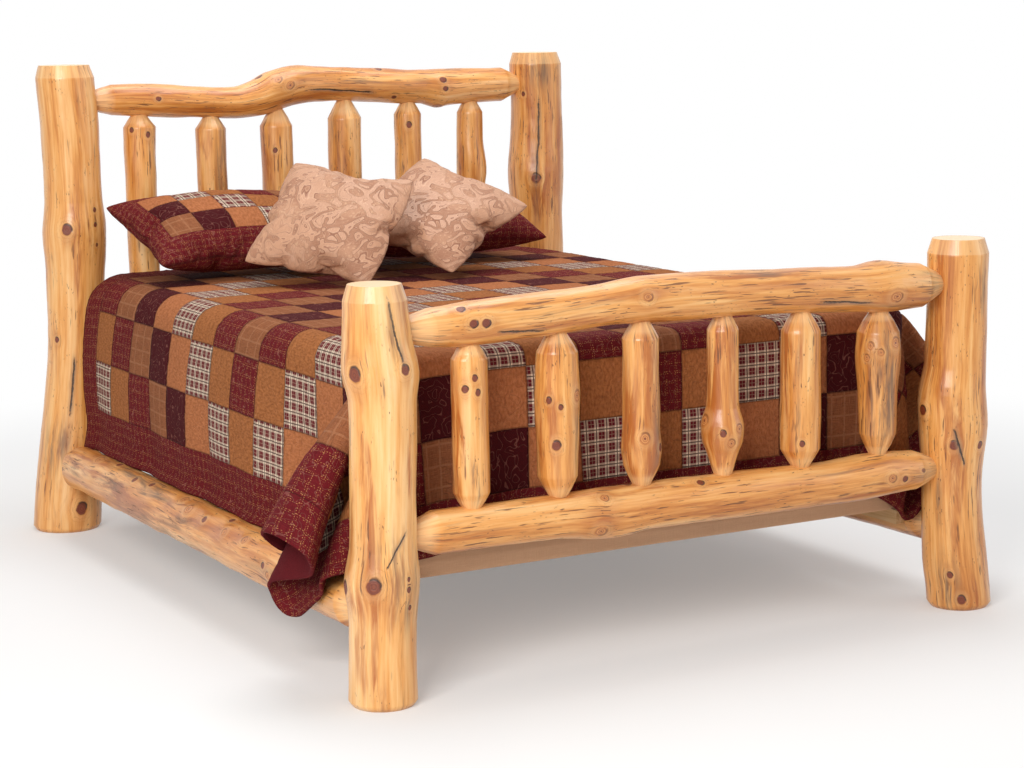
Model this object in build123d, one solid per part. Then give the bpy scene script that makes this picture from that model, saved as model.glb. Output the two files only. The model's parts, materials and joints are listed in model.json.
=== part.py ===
from build123d import *
import math
import os

# A queen-size log bed with its bedding. Millimetres, +Z up. The origin is on the floor under the
# middle of the bed, +X to the bed's right seen from its foot, +Y from the foot to the head.

# Bedding that the bed is built for
mattress_width = 1524.0
mattress_length = 2032.0
mattress_height = 305.0
box_spring_height = 229.0
mattress_edge_radius = 28.0
box_spring_edge_radius = 9.0
bedding_corner_radius = 70.0

# Room around the bedding
mattress_side_gap = 49.0
mattress_end_gap = 44.5

# Posts
head_post_height = 1438.0
foot_post_height = 986.0
post_edge_break = 12.0
post_edge_inset = 8.4

# Cross rails of the headboard and the footboard: the heights of their axes
head_top_rail_z = 1326.0
head_lower_rail_z = 560.0
foot_top_rail_z = 884.0
foot_lower_rail_z = 385.0
end_rail_radius = 57.0
rail_cone_length = 62.0
cone_dome = (0.5, 0.54)
rail_nose_radius = 30.0
rail_tenon_radius = 25.0
rail_tenon_length = 74.0

# Spindles
foot_spindle_pitch = 239.4
head_spindle_pitch = 234.4
spindle_nose_radius = 20.0
spindle_tenon_radius = 16.0
spindle_tenon_length = 34.0

# Side rails
side_rail_z = 215.0
side_rail_radius = 66.0
side_rail_flat = 48.0
side_rail_cone_length = 62.0
side_rail_planed_overrun = 10.0

# Cleats and slats under the box spring
cleat_width = 38.0
cleat_height = 38.0
cleat_end_gap = 160.0
cleat_rise = 2.0
slat_width = 89.0
slat_thickness = 19.0
slat_end_gap = 3.0
slat_count = 5
slat_inset = 190.0

# Screws
lag_radius = 5.0
lag_length = 92.0
lag_head_flats = 17.0
lag_head_height = 7.0
lag_counterbore_radius = 15.0
lag_counterbore_depth = 14.0
washer_radius = 13.0
washer_thickness = 2.0
screw_radius = 2.5
screw_head_radius = 5.0
screw_head_height = 3.0
cleat_screw_length = 64.0
slat_screw_length = 34.0

# Quilt
quilt_thickness = 14.0
quilt_side_flare = 44.0
quilt_foot_flare = 12.0
quilt_left_hem_z = 282.0
quilt_right_hem_z = 430.0
quilt_foot_hem_z = 345.0
corner_fold_start = 60.0
corner_fold_bulk = 67.0
corner_fold_width = 190.0
corner_fold_from_foot = 112.0
corner_fold_left_hem_z = 98.0
corner_fold_right_hem_z = 225.0

# Pillows
sham_length = 650.0
sham_depth = 500.0
sham_thickness = 200.0
sham_lean = 16.0
sham_split = 8.0
sham_from_head = 224.0
sham_shift = -79.0
sham_corner_radius = 80.0
throw_size = 410.0
throw_thickness = 128.0
throw_corner_radius = 66.0
pillow_rim = 4.0
# middle x, y, z, then turn, lean back and roll in degrees
throw_left_place = (-258.0, 398.0, 978.0, -40.5, 45.5, -11.3)
throw_right_place = (128.0, 460.0, 975.0, -26.8, 55.8, -36.5)

# Clearances
tenon_gap = 0.2
tenon_end_gap = 4.0
seat_gap = 0.3
seat_depth = 9.0
screw_gap = 0.1
screw_end_gap = 1.0
fabric_gap = 1.0
layer_gap = 0.4
fold_rail_gap = 8.0

# Where the main pieces stand
post_x = mattress_width / 2 + mattress_side_gap + side_rail_flat
post_y = mattress_length / 2 + mattress_end_gap + end_rail_radius
cleat_top_z = side_rail_z + cleat_height / 2 + cleat_rise
slat_z = cleat_top_z
box_spring_z = slat_z + slat_thickness
mattress_z = box_spring_z + box_spring_height
mattress_top_z = mattress_z + mattress_height
quilt_top_z = mattress_top_z + quilt_thickness

# Rings added between two rings of a log, to ease its outline
ring_steps = 3

# How far a cutting block runs past what it cuts, where it must, and where it may
cut_overrun = 1.0
cut_room = 200.0

centred_up = (Align.CENTER, Align.CENTER, Align.MIN)


def eased_rings(rings):
    """The rings with more of them between, so that the log swells and bends smoothly."""
    eased = [rings[0]]
    ends = [rings[0]] + list(rings) + [rings[-1]]
    for before, near, far, after in zip(ends, ends[1:], ends[2:], ends[3:]):
        for step in range(1, ring_steps + 1):
            t = step / ring_steps
            ring = [near[0] + t * (far[0] - near[0])]
            for a, b, c, d in zip(before[1:], near[1:], far[1:], after[1:]):
                ring.append(b + t * (c - a) / 2 + t**2 * (a - 2.5 * b + 2 * c - d / 2)
                            + t**3 * (1.5 * b - a / 2 - 1.5 * c + d / 2))
            eased.append(tuple(ring))
    return eased


class Log:
    """A peeled log that runs up the local Z of its plane, wandering and swelling as it grows.

    rings are (share of the length, radius, sideways shifts along the plane's x and y). An end
    with a cone narrows to a flat nose at the end of the length, and a tenon stands out of it.
    """

    def __init__(self, plane, length, rings, cone=(0.0, 0.0), nose=0.0, tenon=0.0, reach=0.0):
        self.plane, self.length = plane, length
        self.cone, self.nose, self.tenon, self.reach = cone, nose, tenon, reach
        low, high = cone[0], length - cone[1]
        placed = [(low + share * (high - low), r, x, y) for share, r, x, y in rings]
        self.rings = eased_rings(placed)

    def ring_at(self, z):
        """The radius and shifts at a distance along the log."""
        rings = self.rings
        z = min(max(z, rings[0][0]), rings[-1][0])
        for near, far in zip(rings, rings[1:]):
            if z <= far[0]:
                share = (z - near[0]) / (far[0] - near[0])
                return [a + share * (b - a) for a, b in zip(near[1:], far[1:])]

    def circle(self, z, radius, x, y):
        return Pos(x, y, z) * Circle(radius)

    def cone_rings(self, side, grow=0.0):
        """The blunt, slightly domed cone of one end, from its nose to the full log."""
        _, radius, x, y = self.rings[0] if side < 0 else self.rings[-1]
        end = 0.0 if side < 0 else self.length
        cone = self.cone[0 if side < 0 else 1]
        steps = ((1.0, 0.0), cone_dome, (0.0, 1.0))
        rings = []
        for share, swell in steps:
            z = end - side * cone * (1 - share) + (side * grow if share == 1.0 else 0.0)
            rings.append((z, self.nose + (radius - self.nose) * swell + grow, x, y))
        return sorted(rings)

    def tenon_solid(self, side, grow=0.0, extra=0.0, start=0.0):
        _, _, x, y = self.rings[0] if side < 0 else self.rings[-1]
        end = 0.0 if side < 0 else self.length
        inner, outer = end - side * (1.0 - start), end + side * (self.reach + extra)
        height = abs(outer - inner)
        return Pos(x, y, min(inner, outer)) * Cylinder(self.tenon + grow, height, align=centred_up)

    def solid(self):
        body = loft([self.circle(*ring) for ring in self.rings], ruled=True)
        for side in (-1, 1):
            if self.cone[0 if side < 0 else 1] > 0:
                body += loft([self.circle(*ring) for ring in self.cone_rings(side)], ruled=True)
                body += self.tenon_solid(side)
        return self.plane * body

    def socket(self, side):
        """The drilled mortise with its countersunk mouth that this log's end fits into."""
        mouth = loft([self.circle(*ring) for ring in self.cone_rings(side, seat_gap)], ruled=True)
        hole = self.tenon_solid(side, tenon_gap, tenon_end_gap, -seat_gap)
        return self.plane * (mouth + hole)


def post(side_x, end_y, height, rings):
    """An upright log with both its ends broken to a soft bevel."""
    plane = Plane((side_x * post_x, end_y * post_y, 0))
    inner = [(post_edge_break / height, rings[0][1], rings[0][2], rings[0][3])]
    inner += rings[1:-1]
    inner += [(1 - post_edge_break / height, rings[-1][1], rings[-1][2], rings[-1][3])]
    return Log(plane, height, inner)


def post_solid(log):
    """The post with its bevelled ends, before its mortises."""
    body = loft([log.circle(*ring) for ring in log.rings], ruled=True)
    for ring, end in ((log.rings[0], 0.0), (log.rings[-1], log.length)):
        z, radius, x, y = ring
        bevel = sorted([(end, radius - post_edge_inset, x, y), (z, radius, x, y)])
        body += loft([log.circle(*b) for b in bevel], ruled=True)
    return log.plane * body


# The four posts, each with its own taper, knots and sweep
head_post_left_log = post(-1, 1, head_post_height, [
    (0.0, 105, -5, 0), (0.13, 101, 12, 0), (0.26, 92, 32, 0), (0.41, 86, 48, 0),
    (0.56, 90, 58, 0), (0.645, 97, 60, 0), (0.71, 89, 61, 0), (0.86, 89, 59, 0), (1.0, 89, 48, 0)])
head_post_right_log = post(1, 1, head_post_height, [
    (0.0, 99, 0, 0), (0.30, 91, -4, 0), (0.62, 89, -7, 0), (0.725, 95, -9, 0),
    (0.80, 89, -5, 0), (0.87, 87, -2, 0), (1.0, 89, -7, 0)])
foot_post_left_log = post(-1, -1, foot_post_height, [
    (0.0, 81, -1, 0), (0.20, 80, 3, 0), (0.30, 87, 4, 0), (0.38, 79, 7, 0), (0.60, 77, 13, 0),
    (0.73, 79, 15, 0), (0.795, 90, 11, 0), (0.87, 81, 5, 0), (1.0, 74, 0, 0)])
foot_post_right_log = post(1, -1, foot_post_height, [
    (0.0, 85, 1, 0), (0.13, 84, -15, 0), (0.28, 81, -28, 0), (0.38, 81, -30, 0),
    (0.50, 89, -28, 0), (0.59, 88, -33, 0), (0.66, 82, -25, 0), (0.83, 79, -21, 0),
    (1.0, 80, -19, 0)])


def post_point(log, z):
    """The middle of a post and its radius at a height."""
    radius, x, y = log.ring_at(z)
    return log.plane.origin.X + x, log.plane.origin.Y + y, radius


def cross_rail(left_post, right_post, z, rings):
    """A rail from the left post to the right one: ring shifts are along Y and up."""
    first, last = rings[0][3], rings[-1][3]
    left_x, y, left_radius = post_point(left_post, z + first)
    right_x, _, right_radius = post_point(right_post, z + last)
    start = left_x + left_radius - seat_depth
    length = right_x - right_radius + seat_depth - start
    plane = Plane((start, y, z), x_dir=(0, 1, 0), z_dir=(1, 0, 0))
    cones = (rail_cone_length, rail_cone_length)
    return Log(plane, length, rings, cones, rail_nose_radius, rail_tenon_radius, rail_tenon_length)


# The four cross rails, with their bends and bumps
head_top_rail_log = cross_rail(head_post_left_log, head_post_right_log, head_top_rail_z, [
    (0.0, 48, 0, 1), (0.10, 51, 0, -5), (0.22, 49, 0, -16), (0.30, 50, 0, -20), (0.345, 57, 0, -9),
    (0.38, 66, 0, 7), (0.44, 64, 0, 27), (0.50, 57, 0, 30), (0.62, 55, 0, 22), (0.78, 56, 0, 10),
    (0.83, 62, 0, 4), (0.91, 58, 0, 9), (1.0, 56, 0, 9)])
head_lower_rail_log = cross_rail(head_post_left_log, head_post_right_log, head_lower_rail_z, [
    (0.0, 50, 0, 0), (0.25, 54, 0, 5), (0.5, 55, 0, 7), (0.75, 54, 0, 4), (1.0, 50, 0, 0)])
foot_top_rail_log = cross_rail(foot_post_left_log, foot_post_right_log, foot_top_rail_z, [
    (0.0, 46, 0, -10), (0.07, 53, 0, -8), (0.22, 52, 0, -1), (0.32, 52, 0, 8), (0.40, 58, 0, 13),
    (0.56, 57, 0, 10), (0.70, 57, 0, 3), (0.86, 59, 0, -8), (0.93, 65, 0, -9), (1.0, 58, 0, -13)])
foot_lower_rail_log = cross_rail(foot_post_left_log, foot_post_right_log, foot_lower_rail_z, [
    (0.0, 51, 0, 6), (0.10, 53, 0, 5), (0.23, 54, 0, 4), (0.35, 62, 0, -3), (0.42, 59, 0, 1),
    (0.62, 58, 0, -2), (0.80, 57, 0, -5), (0.93, 58, 0, 1), (1.0, 52, 0, -1)])


def spindle(lower, upper, x, low_cone, top_cone, rings):
    """An upright log between two cross rails at a place along them: rings shift along X and Y."""
    low_radius, low_y, low_z = lower.ring_at(x - lower.plane.origin.X)
    top_radius, _, top_z = upper.ring_at(x - upper.plane.origin.X)
    start = lower.plane.origin.Z + low_z + low_radius - seat_depth
    end = upper.plane.origin.Z + top_z - top_radius + seat_depth
    plane = Plane((x, lower.plane.origin.Y + low_y, start))
    cones = (low_cone + seat_depth, top_cone + seat_depth)
    return Log(plane, end - start, rings, cones, spindle_nose_radius, spindle_tenon_radius,
               spindle_tenon_length)


def spindle_row(lower, upper, pitch, forms):
    """Spindles at an even pitch about the middle of the lower rail, each a little astray."""
    middle = lower.plane.origin.X + lower.length / 2
    logs = []
    for number, (stray, low_cone, top_cone, rings) in enumerate(forms):
        x = middle + (number - (len(forms) - 1) / 2) * pitch + stray
        logs.append(spindle(lower, upper, x, low_cone, top_cone, rings))
    return logs


def plain_rings(low, middle, top):
    return [(0.0, low, 0, 0), (0.5, middle, 0, 0), (1.0, top, 0, 0)]


# stray, lower cone, upper cone, rings
foot_spindle_logs = spindle_row(foot_lower_rail_log, foot_top_rail_log, foot_spindle_pitch, [
    (-6, 33, 30, plain_rings(44, 45, 44)),
    (-9, 46, 44, plain_rings(49, 54, 50)),
    (-12, 46, 36, [(0.0, 45, 0, 0), (0.12, 50, 0, 0), (0.3, 46, 0, 0), (1.0, 45, 0, 0)]),
    (-11, 50, 32, [(0.0, 40, 0, 0), (0.10, 51, 0, 0), (0.24, 52, 0, 0), (0.38, 41, 0, 0),
                   (1.0, 39, 0, 0)]),
    (-13, 42, 44, plain_rings(50, 51, 51)),
    (-6, 52, 50, [(0.0, 49, 0, 0), (0.4, 51, 0, 0), (0.75, 58, 0, 0), (1.0, 54, 0, 0)])])
head_spindle_logs = spindle_row(head_lower_rail_log, head_top_rail_log, head_spindle_pitch, [
    (-8, 40, 34, plain_rings(46, 49, 50)),
    (-3, 40, 34, plain_rings(46, 48, 48)),
    (-11, 40, 48, plain_rings(47, 51, 53)),
    (-4, 40, 54, plain_rings(49, 53, 55)),
    (-7, 40, 36, plain_rings(46, 46, 45)),
    (-8, 40, 32, [(0.0, 44, 0, 0), (0.5, 46, 0, 0), (0.72, 50, 3, 0), (0.84, 44, 0, 0),
                  (1.0, 43, 0, 0)])])


def side_rail_log(side, foot_post, head_post):
    """A side rail along Y from the foot post to the head post: rings shift up and along X."""
    x, foot_y, foot_radius = post_point(foot_post, side_rail_z)
    _, head_y, head_radius = post_point(head_post, side_rail_z)
    start = foot_y + foot_radius - seat_depth
    length = head_y - head_radius + seat_depth - start
    plane = Plane((side * post_x, start, side_rail_z), x_dir=(0, 0, 1), z_dir=(0, 1, 0))
    r = side_rail_radius
    rings = [(0.0, r - 4, 0, 0), (0.2, r - 1, -2, 0), (0.45, r, 0, 0), (0.7, r, 0, 0),
             (0.9, r + 1, -1, 0), (1.0, r, -2, 0)]
    cones = (side_rail_cone_length, side_rail_cone_length)
    return Log(plane, length, rings, cones, rail_nose_radius, rail_tenon_radius, rail_tenon_length)


side_rail_left_log = side_rail_log(-1, foot_post_left_log, head_post_left_log)
side_rail_right_log = side_rail_log(1, foot_post_right_log, head_post_right_log)


def cut_all(body, cutters):
    for cutter in cutters:
        body -= cutter
    return body


# The lag screws that lock the side rails' tenons into the posts
def lag_place(side, end, post_log):
    """The plane of a lag screw: its origin on the post's axis plane, its z out of the counterbore."""
    x, y, radius = post_point(post_log, side_rail_z)
    reach = rail_tenon_length / 2 - seat_depth
    along = y - end * (radius - seat_depth - reach - seat_depth)
    skin = math.sqrt(radius**2 - (along - y)**2)
    seat_x = x - side * (skin - lag_counterbore_depth)
    return Plane((seat_x, along, side_rail_z), z_dir=(-side, 0, 0))


def lag_screw(plane):
    shank = Cylinder(lag_radius, lag_length, align=(Align.CENTER, Align.CENTER, Align.MAX))
    hexagon = RegularPolygon(lag_head_flats / 2, 6, major_radius=False)
    head = extrude(hexagon, amount=lag_head_height)
    return plane * Pos(0, 0, washer_thickness) * (shank + head)


def lag_washer(plane):
    ring = Circle(washer_radius) - Circle(lag_radius + screw_gap)
    return plane * extrude(ring, amount=washer_thickness)


def lag_hole(plane):
    down = (Align.CENTER, Align.CENTER, Align.MAX)
    shank = Cylinder(lag_radius + screw_gap, lag_length + screw_end_gap, align=down)
    bore = Cylinder(lag_counterbore_radius, lag_counterbore_depth * 2, align=centred_up)
    return plane * (shank + bore)


lag_planes = {
    "foot_left": lag_place(-1, -1, foot_post_left_log),
    "head_left": lag_place(-1, 1, head_post_left_log),
    "foot_right": lag_place(1, -1, foot_post_right_log),
    "head_right": lag_place(1, 1, head_post_right_log),
}


def countersunk_screw(length):
    """A wood screw with its flat head at z 0 and its shank going down."""
    shank = Cylinder(screw_radius, length, align=(Align.CENTER, Align.CENTER, Align.MAX))
    head = Pos(0, 0, -screw_head_height) * Cone(
        screw_radius, screw_head_radius, screw_head_height, align=centred_up)
    return shank + head


def screw_hole(length):
    shank = Cylinder(screw_radius + screw_gap, length + screw_end_gap,
                     align=(Align.CENTER, Align.CENTER, Align.MAX))
    head = Pos(0, 0, -screw_head_height) * Cone(
        screw_radius + screw_gap, screw_head_radius + screw_gap, screw_head_height,
        align=centred_up)
    return shank + head


# Cleats and slats
rail_flat_x = post_x - side_rail_flat
cleat_length = 2 * (post_y - cleat_end_gap)
cleat_middle_x = rail_flat_x - cleat_width / 2
cleat_middle_z = cleat_top_z - cleat_height / 2


def cleat_screw_places(side):
    """Where screws go through a cleat into its side rail, between the slats."""
    inner_x = side * (rail_flat_x - cleat_width)
    middles = [(slat_y(n) + slat_y(n + 1)) / 2 for n in range(slat_count - 1)]
    return [Plane((inner_x, y, cleat_middle_z), z_dir=(-side, 0, 0)) for y in middles]


def slat_y(number):
    span = mattress_length - 2 * slat_inset
    return -span / 2 + span * number / (slat_count - 1)


def slat_screw_places(number):
    return [Plane((side * cleat_middle_x, slat_y(number), slat_z + slat_thickness))
            for side in (-1, 1)]


def all_slat_screw_places():
    return [place for n in range(slat_count) for place in slat_screw_places(n)]


def slat(number):
    length = 2 * (rail_flat_x - slat_end_gap)
    board = Pos(0, slat_y(number), slat_z) * Box(length, slat_width, slat_thickness,
                                                 align=centred_up)
    return cut_all(board, [place * screw_hole(slat_screw_length)
                           for place in slat_screw_places(number)])


def cleat(side):
    bar = Pos(side * cleat_middle_x, 0, cleat_middle_z) * Box(
        cleat_width, cleat_length, cleat_height)
    holes = [place * screw_hole(cleat_screw_length) for place in cleat_screw_places(side)]
    holes += [place * screw_hole(slat_screw_length) for place in all_slat_screw_places()]
    return cut_all(bar, holes)


def side_rail(side, log):
    """The side rail, planed flat inside for its cleat and bored for its screws."""
    body = log.solid()
    planed = Pos(side * (rail_flat_x - side_rail_radius), 0, side_rail_z) * Box(
        2 * side_rail_radius, cleat_length + 2 * side_rail_planed_overrun, 3 * side_rail_radius)
    holes = [place * screw_hole(cleat_screw_length) for place in cleat_screw_places(side)]
    name = "left" if side < 0 else "right"
    holes += [lag_hole(lag_planes[f"foot_{name}"]), lag_hole(lag_planes[f"head_{name}"])]
    return cut_all(body, [planed] + holes)


# Bedding
def rounded_block(width, length, height, corner, edge):
    block = extrude(RectangleRounded(width, length, corner), amount=height)
    rims = block.edges().filter_by_position(Axis.Z, 0, 0) + block.edges().filter_by_position(
        Axis.Z, height, height)
    return fillet(rims, edge)


def box_spring():
    return Pos(0, 0, box_spring_z) * rounded_block(
        mattress_width, mattress_length, box_spring_height - layer_gap, bedding_corner_radius,
        box_spring_edge_radius)


def mattress():
    return Pos(0, 0, mattress_z) * rounded_block(
        mattress_width, mattress_length, mattress_height, bedding_corner_radius,
        mattress_edge_radius)


def draped_form(width, length, top_z, low_z, side_flare, foot_flare, edge):
    """A block that covers the mattress and flares out towards its lower rim."""
    top = Pos(0, 0, top_z) * RectangleRounded(width, length, bedding_corner_radius)
    low_length = length + foot_flare
    low = Pos(0, -foot_flare / 2, low_z) * RectangleRounded(
        width + 2 * side_flare, low_length, bedding_corner_radius)
    block = loft([low, top], ruled=True)
    rims = block.edges().filter_by_position(Axis.Z, top_z, top_z)
    return fillet(rims, edge)


def fold_profile(bulks):
    """The line that a hanging quilt corner follows from the mattress edge over the side rail."""
    rail_clear = post_x + side_rail_radius + fold_rail_gap
    line = [(mattress_width / 2 + 2 * fabric_gap, mattress_top_z - corner_fold_start),
            (mattress_width / 2 + quilt_side_flare, mattress_z - corner_fold_start),
            (rail_clear, side_rail_z + side_rail_radius + fold_rail_gap),
            (rail_clear, corner_fold_left_hem_z)]
    return [(x + bulk, z) for (x, z), bulk in zip(line, bulks)]


def corner_fold(side, hem_z):
    """The quilt's loose foot corner, gathered in one fold that hangs outside the side rail."""
    inner = fold_profile((0.0, 0.0, 0.0, 0.0))
    outer = fold_profile((quilt_thickness, quilt_thickness, (quilt_thickness + corner_fold_bulk) / 2,
                          corner_fold_bulk))
    outline = Polyline(*(outer + inner[::-1] + outer[:1]))
    band_face = make_face(Plane.XZ * outline)
    middle_y = -mattress_length / 2 + corner_fold_from_foot
    band = extrude(Pos(0, middle_y, 0) * band_face, amount=corner_fold_width / 2, both=True)
    height = mattress_top_z - hem_z
    tongue = Pos(0, middle_y, hem_z + height / 2) * (
        Plane.YZ * SlotOverall(height, corner_fold_width, rotation=90))
    band = band & extrude(tongue, amount=2 * post_x)
    return band if side > 0 else mirror(band, Plane.YZ)


def quilt():
    """The bedspread: a top, two side drops, a foot drop and two hanging corners."""
    cover = 2 * quilt_thickness + 2 * fabric_gap
    outside = draped_form(mattress_width + cover, mattress_length + cover, quilt_top_z,
                          quilt_left_hem_z, quilt_side_flare, quilt_foot_flare,
                          mattress_edge_radius + quilt_thickness)
    inside = draped_form(mattress_width + 2 * fabric_gap, mattress_length + 2 * fabric_gap,
                         mattress_top_z + layer_gap, quilt_left_hem_z - cut_overrun,
                         quilt_side_flare, quilt_foot_flare, mattress_edge_radius)
    head_cut = Pos(0, mattress_length / 2 + fabric_gap + cut_room, 0) * Box(
        3 * mattress_width, 2 * cut_room, 3 * quilt_top_z)
    foot_cut = Pos(0, -mattress_length / 2, 0) * Box(
        mattress_width - 2 * bedding_corner_radius, 2 * cut_room, 2 * quilt_foot_hem_z)
    right_cut = Pos(mattress_width / 2, bedding_corner_radius, 0) * Box(
        2 * cut_room, mattress_length, 2 * quilt_right_hem_z)
    shell = outside - inside - head_cut - foot_cut - right_cut
    return shell + corner_fold(-1, corner_fold_left_hem_z) + corner_fold(1, corner_fold_right_hem_z)


def cushion(length, depth, thickness, corner):
    """A stuffed pillow: two crowned halves that meet in a thin rim."""
    # rise from the rim to the crown, and what is left of the outline there
    crown = ((0.0, 1.0), (0.42, 0.90), (0.78, 0.74), (1.0, 0.46))
    halves = []
    for side in (-1, 1):
        sections = []
        for rise, share in crown:
            z = side * (pillow_rim + rise * (thickness - pillow_rim)) / 2
            sections.append(Pos(0, 0, z) * RectangleRounded(
                length * share, depth * share, corner * share))
        halves.append(loft(sections))
    band = extrude(RectangleRounded(length, depth, corner), amount=pillow_rim / 2, both=True)
    return halves[0] + halves[1] + band


def sham(side):
    """A patchwork pillow lying on the quilt, raised towards the headboard."""
    x = sham_shift + side * (sham_length + sham_split) / 2
    y = mattress_length / 2 - sham_from_head
    pillow = Rot(sham_lean, 0, 0) * cushion(
        sham_length, sham_depth, sham_thickness, sham_corner_radius)
    lift = layer_gap - pillow.bounding_box().min.Z
    return Pos(x, y, quilt_top_z + lift) * pillow


def throw_pillow(x, y, z, turn, lean, roll):
    """A square pillow propped against a sham: lean is back from upright, turn is about Z."""
    upright = cushion(throw_size, throw_size, throw_thickness, throw_corner_radius)
    place = Pos(x, y, z) * Rot(0, 0, turn) * Rot(-lean, 0, 0) * Rot(0, -roll, 0) * Rot(90, 0, 0)
    return place * upright


def write(name, shape):
    export_step(shape if isinstance(shape, Compound) else Compound([shape]),
                f"parts/{name}.step")
    return name


def group(shapes):
    return Compound(list(shapes))


def build():
    os.makedirs("parts", exist_ok=True)
    parts = {}
    left_sockets, right_sockets = {}, {}
    rails = {"head_top_rail": head_top_rail_log, "head_lower_rail": head_lower_rail_log,
             "foot_top_rail": foot_top_rail_log, "foot_lower_rail": foot_lower_rail_log}
    for name, log in rails.items():
        left_sockets[name] = log.socket(-1)
        right_sockets[name] = log.socket(1)

    posts = {"head_post_left": (head_post_left_log, left_sockets, side_rail_left_log, 1),
             "head_post_right": (head_post_right_log, right_sockets, side_rail_right_log, 1),
             "foot_post_left": (foot_post_left_log, left_sockets, side_rail_left_log, -1),
             "foot_post_right": (foot_post_right_log, right_sockets, side_rail_right_log, -1)}
    for name, (log, sockets, side_log, side_end) in posts.items():
        end, _, hand = name.split("_")
        cutters = [sockets[f"{end}_top_rail"], sockets[f"{end}_lower_rail"],
                   side_log.socket(side_end), lag_hole(lag_planes[f"{end}_{hand}"])]
        parts[name] = cut_all(post_solid(log), cutters)

    spindles = {"head": head_spindle_logs, "foot": foot_spindle_logs}
    for end, logs in spindles.items():
        parts[f"{end}_top_rail"] = cut_all(
            rails[f"{end}_top_rail"].solid(), [log.socket(1) for log in logs])
        parts[f"{end}_lower_rail"] = cut_all(
            rails[f"{end}_lower_rail"].solid(), [log.socket(-1) for log in logs])
        for number, log in enumerate(logs, 1):
            parts[f"{end}_spindle_{number}"] = log.solid()

    for side, name, log in ((-1, "left", side_rail_left_log), (1, "right", side_rail_right_log)):
        parts[f"side_rail_{name}"] = side_rail(side, log)
        parts[f"cleat_{name}"] = cleat(side)
    for number in range(slat_count):
        parts[f"slat_{number + 1}"] = slat(number)

    parts["rail_lag_screws"] = group(lag_screw(plane) for plane in lag_planes.values())
    parts["rail_washers"] = group(lag_washer(plane) for plane in lag_planes.values())
    parts["cleat_screws"] = group(place * countersunk_screw(cleat_screw_length)
                                  for side in (-1, 1) for place in cleat_screw_places(side))
    parts["slat_screws"] = group(place * countersunk_screw(slat_screw_length)
                                 for place in all_slat_screw_places())

    parts["box_spring"] = box_spring()
    parts["mattress"] = mattress()
    parts["quilt"] = quilt()
    parts["sham_left"] = sham(-1)
    parts["sham_right"] = sham(1)
    parts["throw_pillow_left"] = throw_pillow(*throw_left_place)
    parts["throw_pillow_right"] = throw_pillow(*throw_right_place)
    return parts


if __name__ == "__main__":
    for node, shape in build().items():
        write(node, shape)
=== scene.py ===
import json
import math
import bpy
import bmesh
import numpy as np
from mathutils import Matrix, Vector


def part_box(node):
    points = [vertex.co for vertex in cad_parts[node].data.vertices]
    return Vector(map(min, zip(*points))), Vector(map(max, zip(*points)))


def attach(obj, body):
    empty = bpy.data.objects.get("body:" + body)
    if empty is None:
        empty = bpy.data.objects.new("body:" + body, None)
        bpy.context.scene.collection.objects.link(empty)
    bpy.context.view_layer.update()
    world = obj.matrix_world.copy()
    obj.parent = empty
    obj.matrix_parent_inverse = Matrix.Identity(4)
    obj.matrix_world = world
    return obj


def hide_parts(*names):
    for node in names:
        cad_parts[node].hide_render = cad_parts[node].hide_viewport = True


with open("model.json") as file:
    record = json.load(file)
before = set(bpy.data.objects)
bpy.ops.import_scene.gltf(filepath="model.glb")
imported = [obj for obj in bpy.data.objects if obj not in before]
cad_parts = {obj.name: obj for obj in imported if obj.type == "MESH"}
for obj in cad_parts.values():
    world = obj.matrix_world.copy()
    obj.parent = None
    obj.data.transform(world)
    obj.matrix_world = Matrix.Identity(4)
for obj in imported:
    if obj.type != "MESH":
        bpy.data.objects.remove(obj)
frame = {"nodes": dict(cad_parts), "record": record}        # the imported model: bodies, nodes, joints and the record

# A rustic log bed with its bedding. Metres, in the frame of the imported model: +X is the bed's
# right seen from its foot, +Y runs from the foot to the headboard, +Z is up.

scene = bpy.context.scene
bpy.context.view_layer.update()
bodyOf = {node: body for body, nodes in frame["record"]["behaviour"]["bodies"].items()
          for node in nodes}
fullTurn = 2 * math.pi


def addThing(name, data):
    thing = bpy.data.objects.new(name, data)
    scene.collection.objects.link(thing)
    return thing


def addMesh(name, points, faces, edges=()):
    mesh = bpy.data.meshes.new(name)
    mesh.from_pydata(points, edges, faces)
    return mesh


def pointsOf(mesh):
    return np.array([v.co[:] for v in mesh.vertices])


def gridFaces(rows, columns, closed=False):
    # the faces between rows of points, also round from the last column to the first if closed
    return [(r * columns + c, r * columns + (c + 1) % columns,
             (r + 1) * columns + (c + 1) % columns, (r + 1) * columns + c)
            for r in range(rows - 1) for c in range(columns if closed else columns - 1)]


cameraView = {
    "place": (-3.1986, -5.9400, 1.6232),
    "right": (0.87171, -0.48981, -0.01423),
    "up": (0.09104, 0.13336, 0.98688),
    "lens": 83.40,
    "sensor": 36.0,
    "farthest": 60.0,
}


def makeCamera(view):
    right, up = Vector(view["right"]), Vector(view["up"])
    turn = Matrix((right, up, right.cross(up))).transposed().to_4x4()
    data = bpy.data.cameras.new("camera")
    data.lens = view["lens"]
    data.sensor_width = view["sensor"]
    data.clip_end = view["farthest"]
    scene.camera = addThing("camera", data)
    scene.camera.matrix_world = Matrix.Translation(view["place"]) @ turn


lampAim = (0.0, 0.0, 0.6)
lamps = {
    # name: place, size, power, colour
    "windowLeft": ((-4.8, -4.6, 3.6), 3.0, 340.0, (1.0, 0.985, 0.96)),
    "fillRight": ((4.8, -4.2, 2.6), 3.6, 60.0, (0.97, 0.98, 1.0)),
    "overHead": ((0.3, 0.6, 5.0), 3.4, 150.0, (1.0, 1.0, 1.0)),
}


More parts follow.
